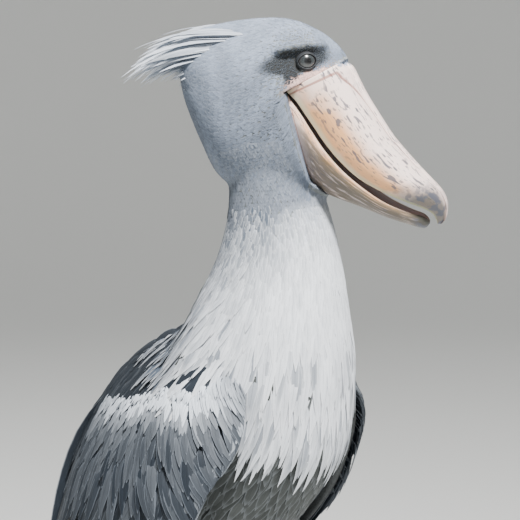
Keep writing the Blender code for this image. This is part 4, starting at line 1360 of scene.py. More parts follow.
@dataclass
class HeadCoat:
    """The short feathers of the head, the dark patch of painted shade round each eye, and the
    crest.
    """

    gap: float = 0.0027
    row_gap: float = 0.0033
    dense_gaps: tuple = (0.0024, 0.0021)
    plume: Plume = Plume(
        0.0095, 0.0020, Outline.ROUND, 3, 3, (-0.0010, 0.0003, 0.0006),
        arch=0.06, tilt=0.03, vary=0.25, wander=0.16, thickness=0.0003)
    fringe: Plume = Plume(
        0.0065, 0.0012, Outline.LANCE, 5, 3, (-0.0012, 0.0001, 0.0002, -0.0008),
        arch=0.06, tilt=0.0, thickness=0.0003, wander=0.30)
    collar: Plume = Plume(
        0.020, 0.0017, Outline.LANCE, 7, 3, arch=0.08, tilt=0.0, thickness=0.0003, vary=0.3)
    collar_count: int = 420
    strand: Plume = Plume(
        0.130, 0.0034, Outline.LANCE, 12, 3, (0.0,), arch=0.20, thickness=0.0005, vary=0.45)
    strands: int = 350
    crest_root: tuple = (-0.028, 1.1815)
    crest_depths: tuple = (0.0, 0.35, 0.6, 0.8, 1.0)
    crest_lengths: tuple = (0.124, 0.150, 0.128, 0.088, 0.058)
    crest_pitches: tuple = (2.0, -1.5, -9.0, -16.0, -38.0)

    def build(self, snap: Snap, on_face: Snap) -> list:
        """The head's feathers and crest.

        Args:
            snap: Pulls feathers onto the skin.
            on_face: Pulls feathers onto the skin or the bill, whichever is outermost.

        Returns:
            The coats, not yet made.
        """
        rng = np.random.default_rng(21)
        roots = np.concatenate([rows_on(HEAD, (8.4, 0.25), ALL_ROUND, self.row_gap, self.gap, rng),
                                rows_on(HEAD, (8.5, 5.4), ALL_ROUND, *self.dense_gaps, rng)])
        spots = HEAD.at(roots[:, 0], roots[:, 1])
        margin = 0.0004 + 0.0075 * self.under_eye(spots)
        keep = ~in_bill_wedge(spots, margin) & ~self._inside_neck(spots)
        keep &= self._to_eye(spots) > 0.0135
        coats = [self._crest()]
        for side in Side:
            mine = keep & (np.sign(roots[:, 1]) == side.value)
            coats.append(self._half(side, roots[mine], spots[mine], snap))
            self._collar(coats[-1], side, snap)
        self._fringe(coats[-1], rng, on_face)
        return coats

    def _fringe(self, coat: Coat, rng: np.random.Generator, on_face: Snap) -> None:
        """A fringe of small feathers that reaches over the bill's base."""
        roots = rows_on(HEAD, (8.6, 3.0), ALL_ROUND, 0.0017, 0.0019, rng)
        spots = HEAD.at(roots[:, 0], roots[:, 1])
        near = in_bill_wedge(spots, 0.0046) & ~in_bill_wedge(spots, 0.0010)
        roots = roots[near & (np.abs(roots[:, 1]) < 0.11)]
        count, b, plume = len(roots), roots[:, 1], self.fringe
        heading = steered(count, 1.0, 0.35 * np.sin(b * math.tau), plume.wander, rng)
        lengths = plume.length * (1.0 + 1.3 * bell(b, 0.07)) * rng.uniform(0.6, 1.2, count)
        # Paler than the forehead: their own pale colour with painted light that offsets their shade
        # where they turn down onto the bill.
        tone = 0.85 + rng.uniform(-0.05, 0.05, count)
        coat.grow(HEAD, roots, heading, lengths, plume, tone, snap=on_face)

    def _collar(self, coat: Coat, side: Side, snap: Snap) -> None:
        """Feathers that wrap the face's edge from the lower bill round to the cheek.

        Each is an arc from beside the bill, over the face's edge, to the cheek behind it.
        """
        rng, n = coat.rng, self.collar_count
        line = np.subtract(CHIN_BASE, GAPE_CORNER)
        ahead = np.array((-line[1], line[0])) / np.hypot(*line)
        share = rng.uniform(0.02, 0.89, (n, 1))
        short = 1.0 - 0.65 * limited((share - 0.55) / 0.34)
        spot = np.array(GAPE_CORNER) + share * line
        middle, left = head_turned(world(0.0, 0.0, np.array((0.0, side.value))))
        outward = np.broadcast_to(left - middle, (n, 3))

        def place(off: float, out: Array) -> Array:
            """Points so far ahead of the face's edge and out from the middle."""
            return head_turned(world(*(spot + off * ahead).T, side.value * out))

        edge = snap(place(-0.003, np.full(n, 0.052)), outward)[0]
        rim = head_turned(edge, back=True)[:, 0] * side.value
        spring = place(0.0012, np.full(n, 0.0405))
        over = rng.uniform(0.0025, 0.0050, (n, 1))
        bend = place(over, rim + rng.uniform(0.0040, 0.0062, n) * short[:, 0])
        spot = spot + line * np.minimum(rng.uniform(0.05, 0.17, (n, 1)), 0.97 - share)
        behind = -rng.uniform(0.007, 0.017, (n, 1)) * short
        tip = snap(place(behind, np.full(n, 0.055)), outward)[0] + outward * 0.0006
        r = self.collar.runs[None, :, None]
        centres = (1 - r) ** 2 * spring[:, None] + 2 * r * (1 - r) * bend[:, None]
        centres = centres + r * r * tip[:, None]
        start, end = head_turned(world(*np.array((np.zeros(2), line)).T, 0.0))
        sides = np.broadcast_to(unit(end - start), centres.shape)
        normals = unit(np.cross(np.gradient(centres, axis=1), sides)) * -side.value
        flat = np.column_stack([np.full(n, 0.5 + 0.3 * side.value), np.linspace(0.6, 0.9, n)])
        tone = 0.42 + rng.uniform(-0.06, 0.06, n)
        coat.sweep(centres, sides, normals, self.collar, tone, flat)

    def _half(self, side: Side, roots: Array, spots: Array, snap: Snap) -> Coat:
        """The feathers of one side of the head."""
        rng = np.random.default_rng(23 + side.value)
        coat = Coat("head_feathers_" + side.word, HEAD_DOWN, rng)
        a, b = roots.T
        near = np.clip((self._to_eye(spots) - 0.012) / 0.04, 0.60, 1.0)
        face = np.clip((8.6 - a) / 2.2, 0.68, 1.0)
        back = limited((4.5 - a) / 4.0)
        size = near * face * (1.0 + 0.7 * back)
        sink = 0.9 * np.sin(b * math.tau) * np.clip((a - 1.5) / 5.0, 0.1, 0.8)
        heading = steered(len(roots), -1.0, sink, self.plume.wander, rng)
        lengths = self.plume.length * size * (1.0 + 0.5 * back)
        coat.grow(HEAD, roots, heading, lengths, self.plume, self._tone(spots, roots),
                  a_limits=(0.02, np.inf), snap=snap, size=size)
        return coat

    @staticmethod
    def _inside_neck(spots: Array) -> Array:
        """Which head places lie within the neck's column."""
        middle = world(0.076, 1.0, 0.0)[1]
        off = np.hypot(spots[:, 0] / 0.050, (spots[:, 1] - middle) / 0.050)
        return (off < 1.0) & (spots[:, 2] < 1.03)

    @staticmethod
    def _to_eye(spots: Array) -> Array:
        """Distance of places to the nearer eye's middle."""
        lenses = [np.array(eye_frame(side) @ Vector((0, 0, 0.011))) for side in Side]
        return np.minimum(*(np.linalg.norm(spots - lens, axis=1) for lens in lenses))

    @staticmethod
    def under_eye(spots: Array) -> Array:
        """1 in the middle of the bare skin between the eye and the bill, 0 away from it."""
        local = head_turned(spots, back=True)
        rel = np.stack([-local[..., 1] - ORIGIN_BEHIND, local[..., 2]], axis=-1) - GAPE_CORNER
        line = np.subtract(CULMEN_BASE, GAPE_CORNER)
        run = rel @ line / (line @ line)
        return bell(run - 0.40, 0.24)

    def _tone(self, spots: Array, roots: Array) -> Array:
        """How light the head's feathers are: crown and brow lighter than the cheeks and nape
        darker, partly painted light from above, and a dark patch round the eye that paints the
        shade under the brow.
        """
        a, b = roots.T
        # Upper head lighter: its own paler grey with a painted highlight from above; nape darker:
        # painted shade.
        tone = 0.39 + 0.24 * limited(np.cos(b * math.tau)) - 0.08 * limited((3.0 - a) / 3.0)
        tone = tone + 0.06 * np.sin(b * 47.0 + 3.0 * np.sin(a * 2.3))
        tone = tone + 0.07 * np.sin(a * 31.0) * np.sin(b * 83.0)
        # The dark patch behind and below each eye: painted shade under the brow and in the eye's
        # hollow.
        dark = np.ones(len(spots))
        for side in Side:
            local = np.array(eye_frame(side).inverted())
            own = spots @ local[:3, :3].T + local[:3, 3]
            rise = -side.value * own[:, 1]
            ahead = own[:, 0]
            behind = np.hypot((ahead + 0.008) / 0.041, (rise - 0.0015 - 0.08 * ahead) / 0.0145)
            below = np.hypot((ahead + 0.017) / 0.010, (rise + 0.016) / 0.017)
            patch = limited((np.minimum(behind, below) - 0.82) / 0.30)
            dark = np.minimum(dark, np.where(own[:, 2] > -0.02, patch, 1.0))
        return limited(tone * dark)

    def _crest(self) -> Coat:
        """Loose strands that trail back from the crown and droop."""
        rng = np.random.default_rng(5)
        coat = Coat("crest_feathers", CREST_STRANDS, rng)
        n, runs = self.strands, self.strand.runs
        depth, spread = rng.random(n), rng.uniform(-1, 1, n)
        length = np.interp(depth, self.crest_depths, self.crest_lengths)
        length = length * rng.uniform(0.58, 0.94, n)
        pitch = np.interp(depth, self.crest_depths, self.crest_pitches) + rng.normal(0, 2.0, n)
        pitch = np.radians(pitch)[:, None]
        root_f = self.crest_root[0] - 0.034 * depth
        root_u = self.crest_root[1] - 0.036 * depth - 0.005 * np.abs(spread)
        reach = length[:, None] * runs[None]
        level = reach * np.cos(pitch)
        swing = (0.20 * spread + rng.normal(0, 0.03, n))[:, None]
        forward = root_f[:, None] - level
        droop = 14.0 * reach ** 3 * rng.uniform(0.8, 1.2, (n, 1))
        up = root_u[:, None] + reach * np.sin(pitch) - droop
        out = 0.027 * spread[:, None] + swing * level + rng.normal(0, 0.6, (n, 1)) * reach ** 2
        centres = head_turned(world(forward, up, out))
        ahead = unit(np.gradient(centres, axis=1))
        rise = head_turned(world(0.0, 1.0, np.broadcast_to(0.7 * spread[:, None], reach.shape)))
        rise = unit(rise - head_turned(world(0.0, 0.0, 0.0)))
        flat_sides = unit(np.cross(ahead, rise))
        flat_normals = unit(np.cross(flat_sides, ahead))
        roll = rng.normal(0.0, 0.65, (n, 1, 1)) * runs[None, :, None]
        s, c = np.sin(roll), np.cos(roll)
        sides, normals = flat_sides * c + flat_normals * s, flat_normals * c - flat_sides * s
        flat = np.column_stack([0.5 + 0.4 * spread, 0.1 + 0.8 * depth])
        coat.sweep(centres, sides, normals, self.strand, 0.20 + 0.65 * rng.random(n), flat)
        return coat


@dataclass
class BodyCoat:
    """Neck, breast plumes, cape, belly, flanks, back and thighs."""

    neck: Plume = Plume(
        0.0130, 0.0026, Outline.ROUND, 3, 3, (-0.0012, 0.0003, 0.0007),
        arch=0.06, tilt=0.03, vary=0.22, thickness=0.0003)
    throat_count: int = 1500
    throat_lifts: tuple = (-0.0010, 0.0006, 0.0010)
    bib: Plume = Plume(
        0.112, 0.0056, Outline.LANCE, 9, 3, (-0.0030, 0.0012, 0.0038, 0.0054, 0.0066),
        vary=0.25, wander=0.06)
    cape: Plume = Plume(
        0.110, 0.0066, Outline.LANCE, 9, 3, (-0.0040, 0.0030, 0.0064, 0.0078),
        vary=0.25, wander=0.09)
    belly: Plume = Plume(
        0.050, 0.0062, Outline.LANCE, 7, 3, (-0.0030, 0.0014, 0.0026, 0.0032),
        vary=0.22, wander=0.12)
    thigh: Plume = Plume(
        0.034, 0.0060, Outline.ROUND, 6, 3, (-0.0018, 0.0012, 0.0022, 0.0028), vary=0.18)

    def build(self, on_skin: Snap, over_all: Snap) -> list:
        """All the body's coats, not yet made.

        Args:
            on_skin: Pulls feathers onto the skin.
            over_all: Pulls feathers onto whatever is outermost, skin or wing.

        Returns:
            The coats.
        """
        upper = [self._neck(on_skin), self._bib(on_skin), self._cape(over_all)]
        return [*upper, self._belly(), *(self._thigh(side) for side in Side)]

    def _neck(self, snap: Snap) -> Coat:
        """Short sleek feathers from the head down to the plumes."""
        rng = np.random.default_rng(31)
        coat = Coat("neck_feathers", NECK_DOWN, rng)
        roots = rows_on(BODY, (11.4, 8.1), ALL_ROUND, 0.0044, 0.0036, rng)
        spots = BODY.at(roots[:, 0], roots[:, 1])
        roots = roots[~(in_bill_wedge(spots, -0.010) & (spots[:, 2] > CHIN_BASE[1] - 0.001))]
        size = 1.0 + 0.8 * limited((9.8 - roots[:, 0]) / 1.6)
        heading = steered(len(roots), -1.0, 0.0, self.neck.wander, rng)
        # Dark above the border: the neck's own slate with painted shadow of the head and bill.
        tone = 0.16 + 0.74 * limited(1.6 * self._paleness_past_painted_shadow(roots))
        tone = tone + rng.uniform(-0.05, 0.05, len(roots))
        lengths = self.neck.length * size
        coat.grow(BODY, roots, heading, lengths, self.neck, tone, snap=snap, size=size)
        self._throat(coat, snap)
        return coat

    def _throat(self, coat: Coat, snap: Snap) -> None:
        """Feathers that come from under the bill and turn down over the neck."""
        rng, n, runs = coat.rng, self.throat_count, self.neck.runs[None, :, None]
        forward, out = rng.uniform(0.045, 0.142, n), rng.uniform(-0.058, 0.058, n)
        up = np.interp(forward, (0.048, 0.085, 0.142), (1.0, 0.966, 0.964))
        roots = head_turned(world(forward, up, out))
        away = (roots - world(0.081, 0.0, 0.0)) * (1.0, 1.0, 0.0)
        inside = np.abs(np.linalg.norm(away, axis=1) - 0.044) < 0.015
        roots, away = roots[inside], unit(away[inside])[:, None]
        reach = runs * rng.uniform(0.012, 0.020, (len(roots), 1, 1))
        points = roots[:, None] + away * 0.8 * reach - np.array((0.0, 0.0, 30.0)) * reach ** 2
        centres, normals = snap(points, np.broadcast_to(unit(away + (0.0, 0.0, 1.0)), points.shape))
        sides = unit(np.cross(np.gradient(centres, axis=1), normals))
        centres = centres + normals * np.array(self.throat_lifts)[None, :, None]
        flat = np.column_stack([0.5 + forward[inside], 0.8 + out[inside]])
        # Dark like the upper neck: the throat's own slate with painted shadow under the bill.
        tone = 0.17 + rng.uniform(-0.04, 0.04, len(roots))
        coat.sweep(centres, sides, normals, self.neck, tone, flat)

    @staticmethod
    def _paleness_past_painted_shadow(roots: Array) -> Array:
        """0 on the upper neck, 1 on the pale breast: the border arches over the front, and the dark
        above it is the neck's own slate with painted shadow of the head and bill.
        """
        b = np.mod(roots[:, 1] + 0.5, 1.0) - 0.5
        return limited((10.1 - roots[:, 0] - np.minimum(12.0 * b * b, 1.2)) / 1.3)

    @staticmethod
    def _growth(a: Array) -> Array:
        """How long plumes are beside the longest: short where they begin on the neck."""
        return np.interp(a, (6.5, 7.5, 8.2, 8.7, 9.5), (1.0, 0.92, 0.58, 0.34, 0.16))

    @staticmethod
    def _plume_roots(rows: tuple, within: Callable, rng: np.random.Generator) -> Array:
        """Roots of plumes: fewer where they begin on the neck, and only where they may grow.

        Args:
            rows: What `rows_on` takes for the upper and the lower field.
            within: Tells of each a and b whether plumes grow there.
            rng: Source of the small differences.

        Returns:
            One (a, b) for each plume.
        """
        roots = np.concatenate([rows_on(BODY, *field_rows, rng) for field_rows in rows])
        keep = rng.random(len(roots)) < limited((9.9 - roots[:, 0]) / 0.9)
        return roots[keep & within(*roots.T)]

    def _bib(self, snap: Snap) -> Coat:
        """Long narrow plumes that hang over the breast."""
        rng = np.random.default_rng(41)
        coat = Coat("breast_plumes", BIB_PLUMES, rng)
        edge = 0.25
        rows = (((9.8, 8.1), (-edge, edge), 0.0052, 0.0040),
                ((8.1, 6.75), (-edge, edge), 0.0100, 0.0066))
        roots = self._plume_roots(
            rows, lambda a, b: np.abs(b) < edge - 0.045 * limited(7.4 - a), rng)
        count, off = len(roots), np.abs(roots[:, 1])
        growth = self._growth(roots[:, 0])
        lengths = self.bib.length * growth * rng.uniform(0.72, 1.12, count)
        lengths = np.where((off > 0.205) & (roots[:, 0] < 7.9), 0.6, 1.0) * lengths
        heading = steered(count, -1.0, -0.35 * roots[:, 1], self.bib.wander, rng)
        # Greyer towards the sides and in the lower rows, with some dark plumes there: painted shade
        # in the gaps between plumes, over random differences of tone; above the border, the neck's
        # painted shadow.
        low = limited(8.2 - roots[:, 0])
        tone = 0.94 - 0.22 * (off / edge) ** 1.5 + rng.uniform(-0.10, 0.08, count)
        tone = tone - rng.uniform(0, 0.22, count) * low
        tone = tone - 0.40 * (rng.random(count) < 0.30 * low) - 0.66 * (1.0 - self._paleness_past_painted_shadow(roots))
        puff = growth ** 1.5
        coat.grow(BODY, roots, heading, lengths, self.bib, tone, snap=snap,
                  lift=0.0003 + 0.0026 * puff, size=0.45 + 0.55 * growth, puff=puff)
        return coat

    def _cape(self, snap: Snap) -> Coat:
        """Plumes over the shoulders and the top of the back, lying over the wings."""
        rng = np.random.default_rng(51)
        coat = Coat("cape_plumes", BIB_PLUMES, rng)
        rows = (((9.8, 8.1), (0.22, 0.78), 0.0052, 0.0042),
                ((8.1, 6.7), (0.19, 0.81), 0.0095, 0.0072))
        roots = self._plume_roots(rows, lambda a, b: (a > 7.8) | (np.abs(b - 0.5) < 0.27), rng)
        count = len(roots)
        growth = self._growth(roots[:, 0])
        lengths = self.cape.length * growth * rng.uniform(0.60, 1.06, count)
        heading = steered(count, -1.0, 0.0, self.cape.wander, rng)
        # Darker over the back in the lower rows: the back's own slate with painted shade under the
        # plumes; above the border, the neck's painted shadow.
        back = limited(0.15 - 1.25 * np.cos(roots[:, 1] * math.tau))
        tone = 0.70 - 0.62 * back * limited((8.2 - roots[:, 0]) / 0.9)
        tone = tone + rng.uniform(-0.22, 0.16, count)
        tone = limited(tone - 0.42 * (1.0 - self._paleness_past_painted_shadow(roots)))
        coat.grow(BODY, roots, heading, lengths, self.cape, tone, snap=snap,
                  lift=0.0003 + 0.0012 * growth, size=0.45 + 0.55 * growth, puff=growth ** 1.5)
        return coat

    def _belly(self) -> Coat:
        """Belly, flanks, back and rump."""
        rng = np.random.default_rng(61)
        coat = Coat("body_feathers", SHADED_BODY_DOWN, rng)
        roots = rows_on(BODY, (7.2, 0.10), ALL_ROUND, 0.014, 0.0098, rng)
        lengths = self.belly.length * np.clip(0.5 + roots[:, 0] / 4.0, 0.5, 1.0)
        heading = steered(len(roots), -1.0, 0.0, self.belly.wander, rng)
        front = 0.5 + 0.5 * np.cos(roots[:, 1] * math.tau)
        # Dark all over, a little lighter towards the front: painted shade under the breast plumes
        # and wings.
        tone = 0.05 + 0.15 * front + rng.uniform(-0.06, 0.06, len(roots))
        coat.grow(BODY, roots, heading, lengths, self.belly, tone, a_limits=(0.0, np.inf))
        return coat

    def _thigh(self, side: Side) -> Coat:
        """One feathered thigh."""
        rng = np.random.default_rng(71 + side.value)
        surface = ThighSurface(side)
        coat = Coat("thigh_feathers_" + side.word, SHADED_BODY_DOWN, rng)
        roots = rows_on(surface, (0.6, 6.7), ALL_ROUND, 0.012, 0.0095, rng)
        heading = steered(len(roots), 1.0, 0.0, self.thigh.wander, rng)
        lengths = self.thigh.length * np.clip((8.0 - roots[:, 0]) / 4.0, 0.45, 1.0)
        # Dark like the belly: painted shade.
        tone = 0.24 + rng.uniform(-0.08, 0.08, len(roots))
        limits = (-np.inf, surface.spans[0][1])
        coat.grow(surface, roots, heading, lengths, self.thigh, tone, a_limits=limits)
        return coat


@dataclass(frozen=True)
class Tier:
    """One row of wing feathers: where its roots and tips lie on the wing, and their kind."""

    count: int
    root: float
    tips: tuple
    root_b: tuple
    tip_b: tuple
    plume: Plume
    tone: tuple


COVERT_LIFTS = (-0.0080, -0.0006, 0.0010, 0.0020, 0.0026)
HANGING_LIFTS = (-0.0060, 0.0018, 0.0030, 0.0038, 0.0044)
FLIGHT_LIFTS = (-0.0080, -0.0030, -0.0022, -0.0016, -0.0010)
PRIMARY_LIFTS = (-0.0070, -0.0062, -0.0058, -0.0055)
# Where the pale upper edge of the folded wing runs, from the shoulder's front to the back
SHELF_A = (0.000, 0.015, 0.045, 0.085, 0.130, 0.190, 0.270, 0.360)
SHELF_B = (0.020, 0.160, 0.300, 0.440, 0.570, 0.700, 0.840, 0.960)


# Edges that feathers of the wing keep inside, from its front edge over to the back
WING_LIMITS = (0.0, 1.03)


@dataclass
class Wing:
    """A folded wing: its fleshy core, coverts in tiers, secondaries and primaries."""

    side: Side
    hanging_rows: int = 8
    row_drop: float = 0.0135
    # Tone of the hanging rows, from the pale upper edge down: the bright top row is partly painted
    # sunlight over pale-edged feathers, the dark lower rows partly painted shade over their own
    # dark slate
    row_numbers: tuple = (0, 1, 2, 3, 4, 5, 7)
    row_tones_with_painted_light: tuple = (0.92, 0.32, 0.10, 0.045, 0.025, 0.015, 0.01)

    def core(self) -> Object:
        """The arm and the feathers' roots as one thin form."""
        surface = WingSurface(self.side)
        bm = bmesh.new()
        bmesh.ops.create_grid(bm, x_segments=48, y_segments=28, size=0.5)
        under = bmesh.ops.duplicate(bm, geom=bm.verts[:] + bm.edges[:] + bm.faces[:])
        lower = {v for v in under["geom"] if isinstance(v, bmesh.types.BMVert)}
        along, across = places_of(bm)[:, :2].T + 0.5
        a, b = along * WING_CORE_END, 0.01 + across * 0.97
        depth = np.array([v in lower for v in bm.verts]) * WingSurface.depth(a, b)
        move_to(bm, surface.raised(a, b, -WING_CORE_SINK - depth))
        bmesh.ops.bridge_loops(bm, edges=[e for e in bm.edges if e.is_boundary])
        bmesh.ops.recalc_face_normals(bm, faces=bm.faces)
        core = add_object("wing_core_" + self.side.word, bm, SKIN.material())
        add_attribute(core.data, "tone", np.full(len(core.data.vertices), 0.06))
        return core

    def coats(self) -> list:
        """Coverts and flight feathers, not yet made."""
        word, sign = self.side.word, self.side.value
        coverts = Coat("wing_coverts_" + word, WING_VANES, np.random.default_rng(80 + sign))
        for tier in self._greater_tiers():
            self._lay(coverts, tier)
        self._lay_scapulars(coverts)
        for row in reversed(range(self.hanging_rows)):
            self._hang(coverts, row)
        self._hang(coverts, -1)
        self._lay_rim(coverts)
        flight = Coat("flight_feathers_" + word, FLIGHT_VANES, np.random.default_rng(90 + sign))
        for tier in self._flight_tiers():
            self._lay(flight, tier)
        self._lay_under(flight)
        return [flight, coverts]

    @staticmethod
    def _greater_tiers() -> list:
        """The long dark coverts over the secondaries' roots."""
        rows = ((0.120, 0.150, 0.0100, 20), (0.175, 0.175, 0.0108, 19),
                (0.235, 0.210, 0.0115, 18), (0.300, 0.255, 0.0124, 17))
        tiers = []
        for root, reach, half, count in rows:
            plume = Plume(0.10, half, Outline.LANCE, 10, 5, COVERT_LIFTS, arch=0.14)
            tips = (root + reach, root + reach + 0.025)
            tiers.append(Tier(count, root, tips, (0.06, 1.0), (0.01, 1.0), plume, (0.06, 0.0)))
        return tiers

    def _lay_scapulars(self, coat: Coat) -> None:
        """Dark feathers over the shoulder blade and the inner edge of the wing: their own slate,
        with painted shade under the cape that darkens them further and takes away their pale edges.
        """
        surface, rng = WingSurface(self.side), coat.rng
        plume = Plume(0.075, 0.0092, Outline.LANCE, 8, 3, COVERT_LIFTS, arch=0.12, vary=0.2)
        roots = rows_on(surface, (-0.01, 0.42), (0.36, 1.0), 0.020, 0.0125, rng)
        roots = roots[roots[:, 1] > np.interp(roots[:, 0], SHELF_A, SHELF_B) - 0.10]
        count = len(roots)
        heading = steered(count, 1.0, 0.0, 0.07, rng)
        lengths = plume.length * rng.uniform(0.8, 1.2, count)
        # Tones below zero: darker than the finish's dark and without pale edges, painted shade
        # under the cape plumes.
        tone = rng.uniform(-0.16, -0.02, count)
        coat.grow(surface, roots, heading, lengths, plume, tone, b_limits=WING_LIMITS, lift=0.0006)

    def _lay_rim(self, coat: Coat) -> None:
        """Pale little feathers along the wing's front edge."""
        surface, rng = WingSurface(self.side), coat.rng
        plume = Plume(0.045, 0.0046, Outline.LANCE, 7, 3, HANGING_LIFTS, arch=0.16, vary=0.2)
        roots = rows_on(surface, (0.0, 0.42), (0.005, 0.085), 0.014, 0.0055, rng)
        count = len(roots)
        heading = steered(count, 1.0, -0.10, 0.06, rng)
        lengths = plume.length * rng.uniform(0.8, 1.2, count)
        tone = np.interp(roots[:, 0], (0.0, 0.25, 0.45), (0.40, 0.24, 0.14))
        tone = tone + rng.uniform(-0.12, 0.12, count)
        coat.grow(surface, roots, heading, lengths, plume, tone,
                  b_limits=(-0.01, 1.03), lift=0.0006)

    def _hang(self, coat: Coat, row: int) -> None:
        """One row of the coverts that hang from the wing's pale upper edge; row -1 is its rim."""
        surface, rng = WingSurface(self.side), coat.rng
        count = 54 - 2 * row if row >= 0 else 110
        share = (np.arange(count) + rng.uniform(-0.3, 0.3, count)) / (count - 1)
        place = np.linspace(0.0, 1.0, len(SHELF_A))
        slant = np.interp(share, (0, 0.3, 0.7, 1), (32, 44, 44, 24)) + rng.normal(0, 5.0, count)
        slant = np.radians(slant)
        heading = np.column_stack([np.cos(slant), -np.sin(slant)])
        start = np.column_stack([np.interp(share, place, shelf) for shelf in (SHELF_A, SHELF_B)])
        down = self.row_drop * row - 0.002 + rng.uniform(-0.005, 0.004, count)
        down = down + 0.003 * np.sin(share * 17.0)
        roots = flow(surface, start, down, heading, np.array([0.0, 0.5, 1.0]))[:, -1]
        keep = roots[:, 1] > 0.005
        roots, heading, share = roots[keep], heading[keep], share[keep]
        half = 0.0052 + 0.0006 * row
        plume = Plume(
            0.05, half, Outline.LANCE, 8, 3, HANGING_LIFTS, arch=0.16, tilt=0.16, vary=0.2)
        if row < 0:
            lifts = (-0.0070, 0.0012, 0.0030, 0.0036)
            plume = Plume(0.02, 0.0030, Outline.LANCE, 6, 3, lifts, arch=0.16, vary=0.3)
        lengths = (0.033 + 0.0075 * row) * rng.uniform(0.75, 1.2, len(roots))
        tone = np.interp(row, self.row_numbers, self.row_tones_with_painted_light)
        # Darker near the shoulder, under the breast plumes, and towards the back: painted shade.
        tone = tone * np.interp(share, (0.0, 0.25, 0.45), (0.30, 0.60, 1.0))
        tone = tone * (1.0 - 0.6 * limited((share - 0.8) / 0.2))
        tone = np.clip(tone + rng.uniform(-0.03, 0.08, len(roots)), 0, 1.1)
        coat.grow(surface, roots, heading, lengths, plume, tone, b_limits=WING_LIMITS, lift=0.0012)

    @staticmethod
    def _flight_tiers() -> list:
        """Secondaries under the coverts, primaries under them at the wing's end."""
        wide = Plume(
            0.30, 0.0165, Outline.FLIGHT, 14, 5, FLIGHT_LIFTS, arch=0.12, vary=0.06, fray=0.02)
        long = Plume(
            0.35, 0.0105, Outline.FLIGHT, 16, 5, PRIMARY_LIFTS,
            arch=0.12, tilt=0.12, vary=0.05, fray=0.02)
        return [
            Tier(10, 0.62, (1.00, 0.93), (0.04, 0.50), (0.10, 0.80), long, (0.25, 0.15)),
            Tier(16, 0.36, (0.70, 0.93), (0.05, 1.0), (0.06, 0.99), wide, (0.45, 0.20)),
        ]

    def _lay(self, coat: Coat, tier: Tier) -> None:
        """Lays one tier, evenly across the wing with small differences."""
        rng, count = coat.rng, tier.count
        share = (np.arange(count) + rng.uniform(-0.2, 0.2, count)) / (count - 1)
        start_a = tier.root + rng.uniform(-0.008, 0.008, count)
        end_a = np.minimum(between(tier.tips, share) + rng.uniform(-0.012, 0.012, count), 0.995)
        start_b = between(tier.root_b, share)
        end_b = between(tier.tip_b, share) + rng.uniform(-0.008, 0.008, count)
        start, end = np.stack([start_a, start_b], axis=-1), np.stack([end_a, end_b], axis=-1)
        paths = between((start[:, None], end[:, None]), tier.plume.runs[:, None])
        tone = between(tier.tone, share) + rng.uniform(-0.08, 0.08, count)
        coat.lay(WingSurface(self.side), paths, tier.plume, tone, b_limits=WING_LIMITS)

    def _lay_under(self, coat: Coat) -> None:
        """Feathers that line the hollow of the wing."""
        surface, rng = WingSurface(self.side, under=True), coat.rng
        plume = Plume(0.11, 0.0120, Outline.ROUND, 8, 3, (0.0, 0.001, 0.002), vary=0.12)
        roots = rows_on(surface, (0.10, 0.66), (0.03, 0.90), 0.045, 0.019, rng)
        heading = steered(len(roots), 1.0, 0.0, 0.05, rng)
        lift = float(np.median(WING_CORE_SINK + WingSurface.depth(*roots.T))) + 0.001
        coat.grow(surface, roots, heading, plume.length, plume, 0.25,
                  b_limits=(0.0, 0.985), lift=lift)


@dataclass
class Tail:
    """Twelve tail feathers in a short square fan, with coverts over and under their roots."""

    count: int = 12
    half_spread: float = 0.86
    plume: Plume = Plume(
        0.20, 0.0088, Outline.FLIGHT, 12, 5, (0.0, 0.0), arch=0.12, tilt=0.16, vary=0.04, fray=0.02)
    covert: Plume = Plume(
        0.09, 0.0085, Outline.ROUND, 8, 3, (0.0, 0.0030, 0.0040), arch=0.12, tilt=0.12)

    def coats(self) -> list:
        """The tail's coat, not yet made."""
        rng = np.random.default_rng(101)
        coat = Coat("tail_feathers", FLIGHT_VANES, rng)
        b = np.linspace(-self.half_spread, self.half_spread, self.count)
        for half, way in ((b[b <= 0], -1.0), (b[b > 0][::-1], 1.0)):
            plume = replace(self.plume, tilt=self.plume.tilt * way)
            ends = 1.0 - 0.035 * np.abs(half) + rng.uniform(-0.01, 0.01, len(half))
            for k, (own_b, end) in enumerate(zip(half, ends)):
                a = between((0.05, end), plume.runs[None])
                path = np.stack([a, np.broadcast_to(own_b, a.shape)], axis=-1)
                coat.lay(TAIL, path, plume, 0.30 + 0.05 * rng.random(), lift=-0.0008 * k)
        for lift, way in ((0.0045, 1.0), (-0.0085, -1.0)):
            roots = np.array(
                [(0.10 * r, x) for r in range(3) for x in np.linspace(-0.75, 0.75, 7 - r)])
            roots += rng.uniform(-0.02, 0.02, roots.shape)
            heading = steered(len(roots), 1.0, 0.0, 0.05, rng)
            plume = replace(self.covert, lifts=tuple(way * x for x in self.covert.lifts))
            coat.grow(TAIL, roots, heading, plume.length, plume, 0.45, lift=lift)
        return [coat]


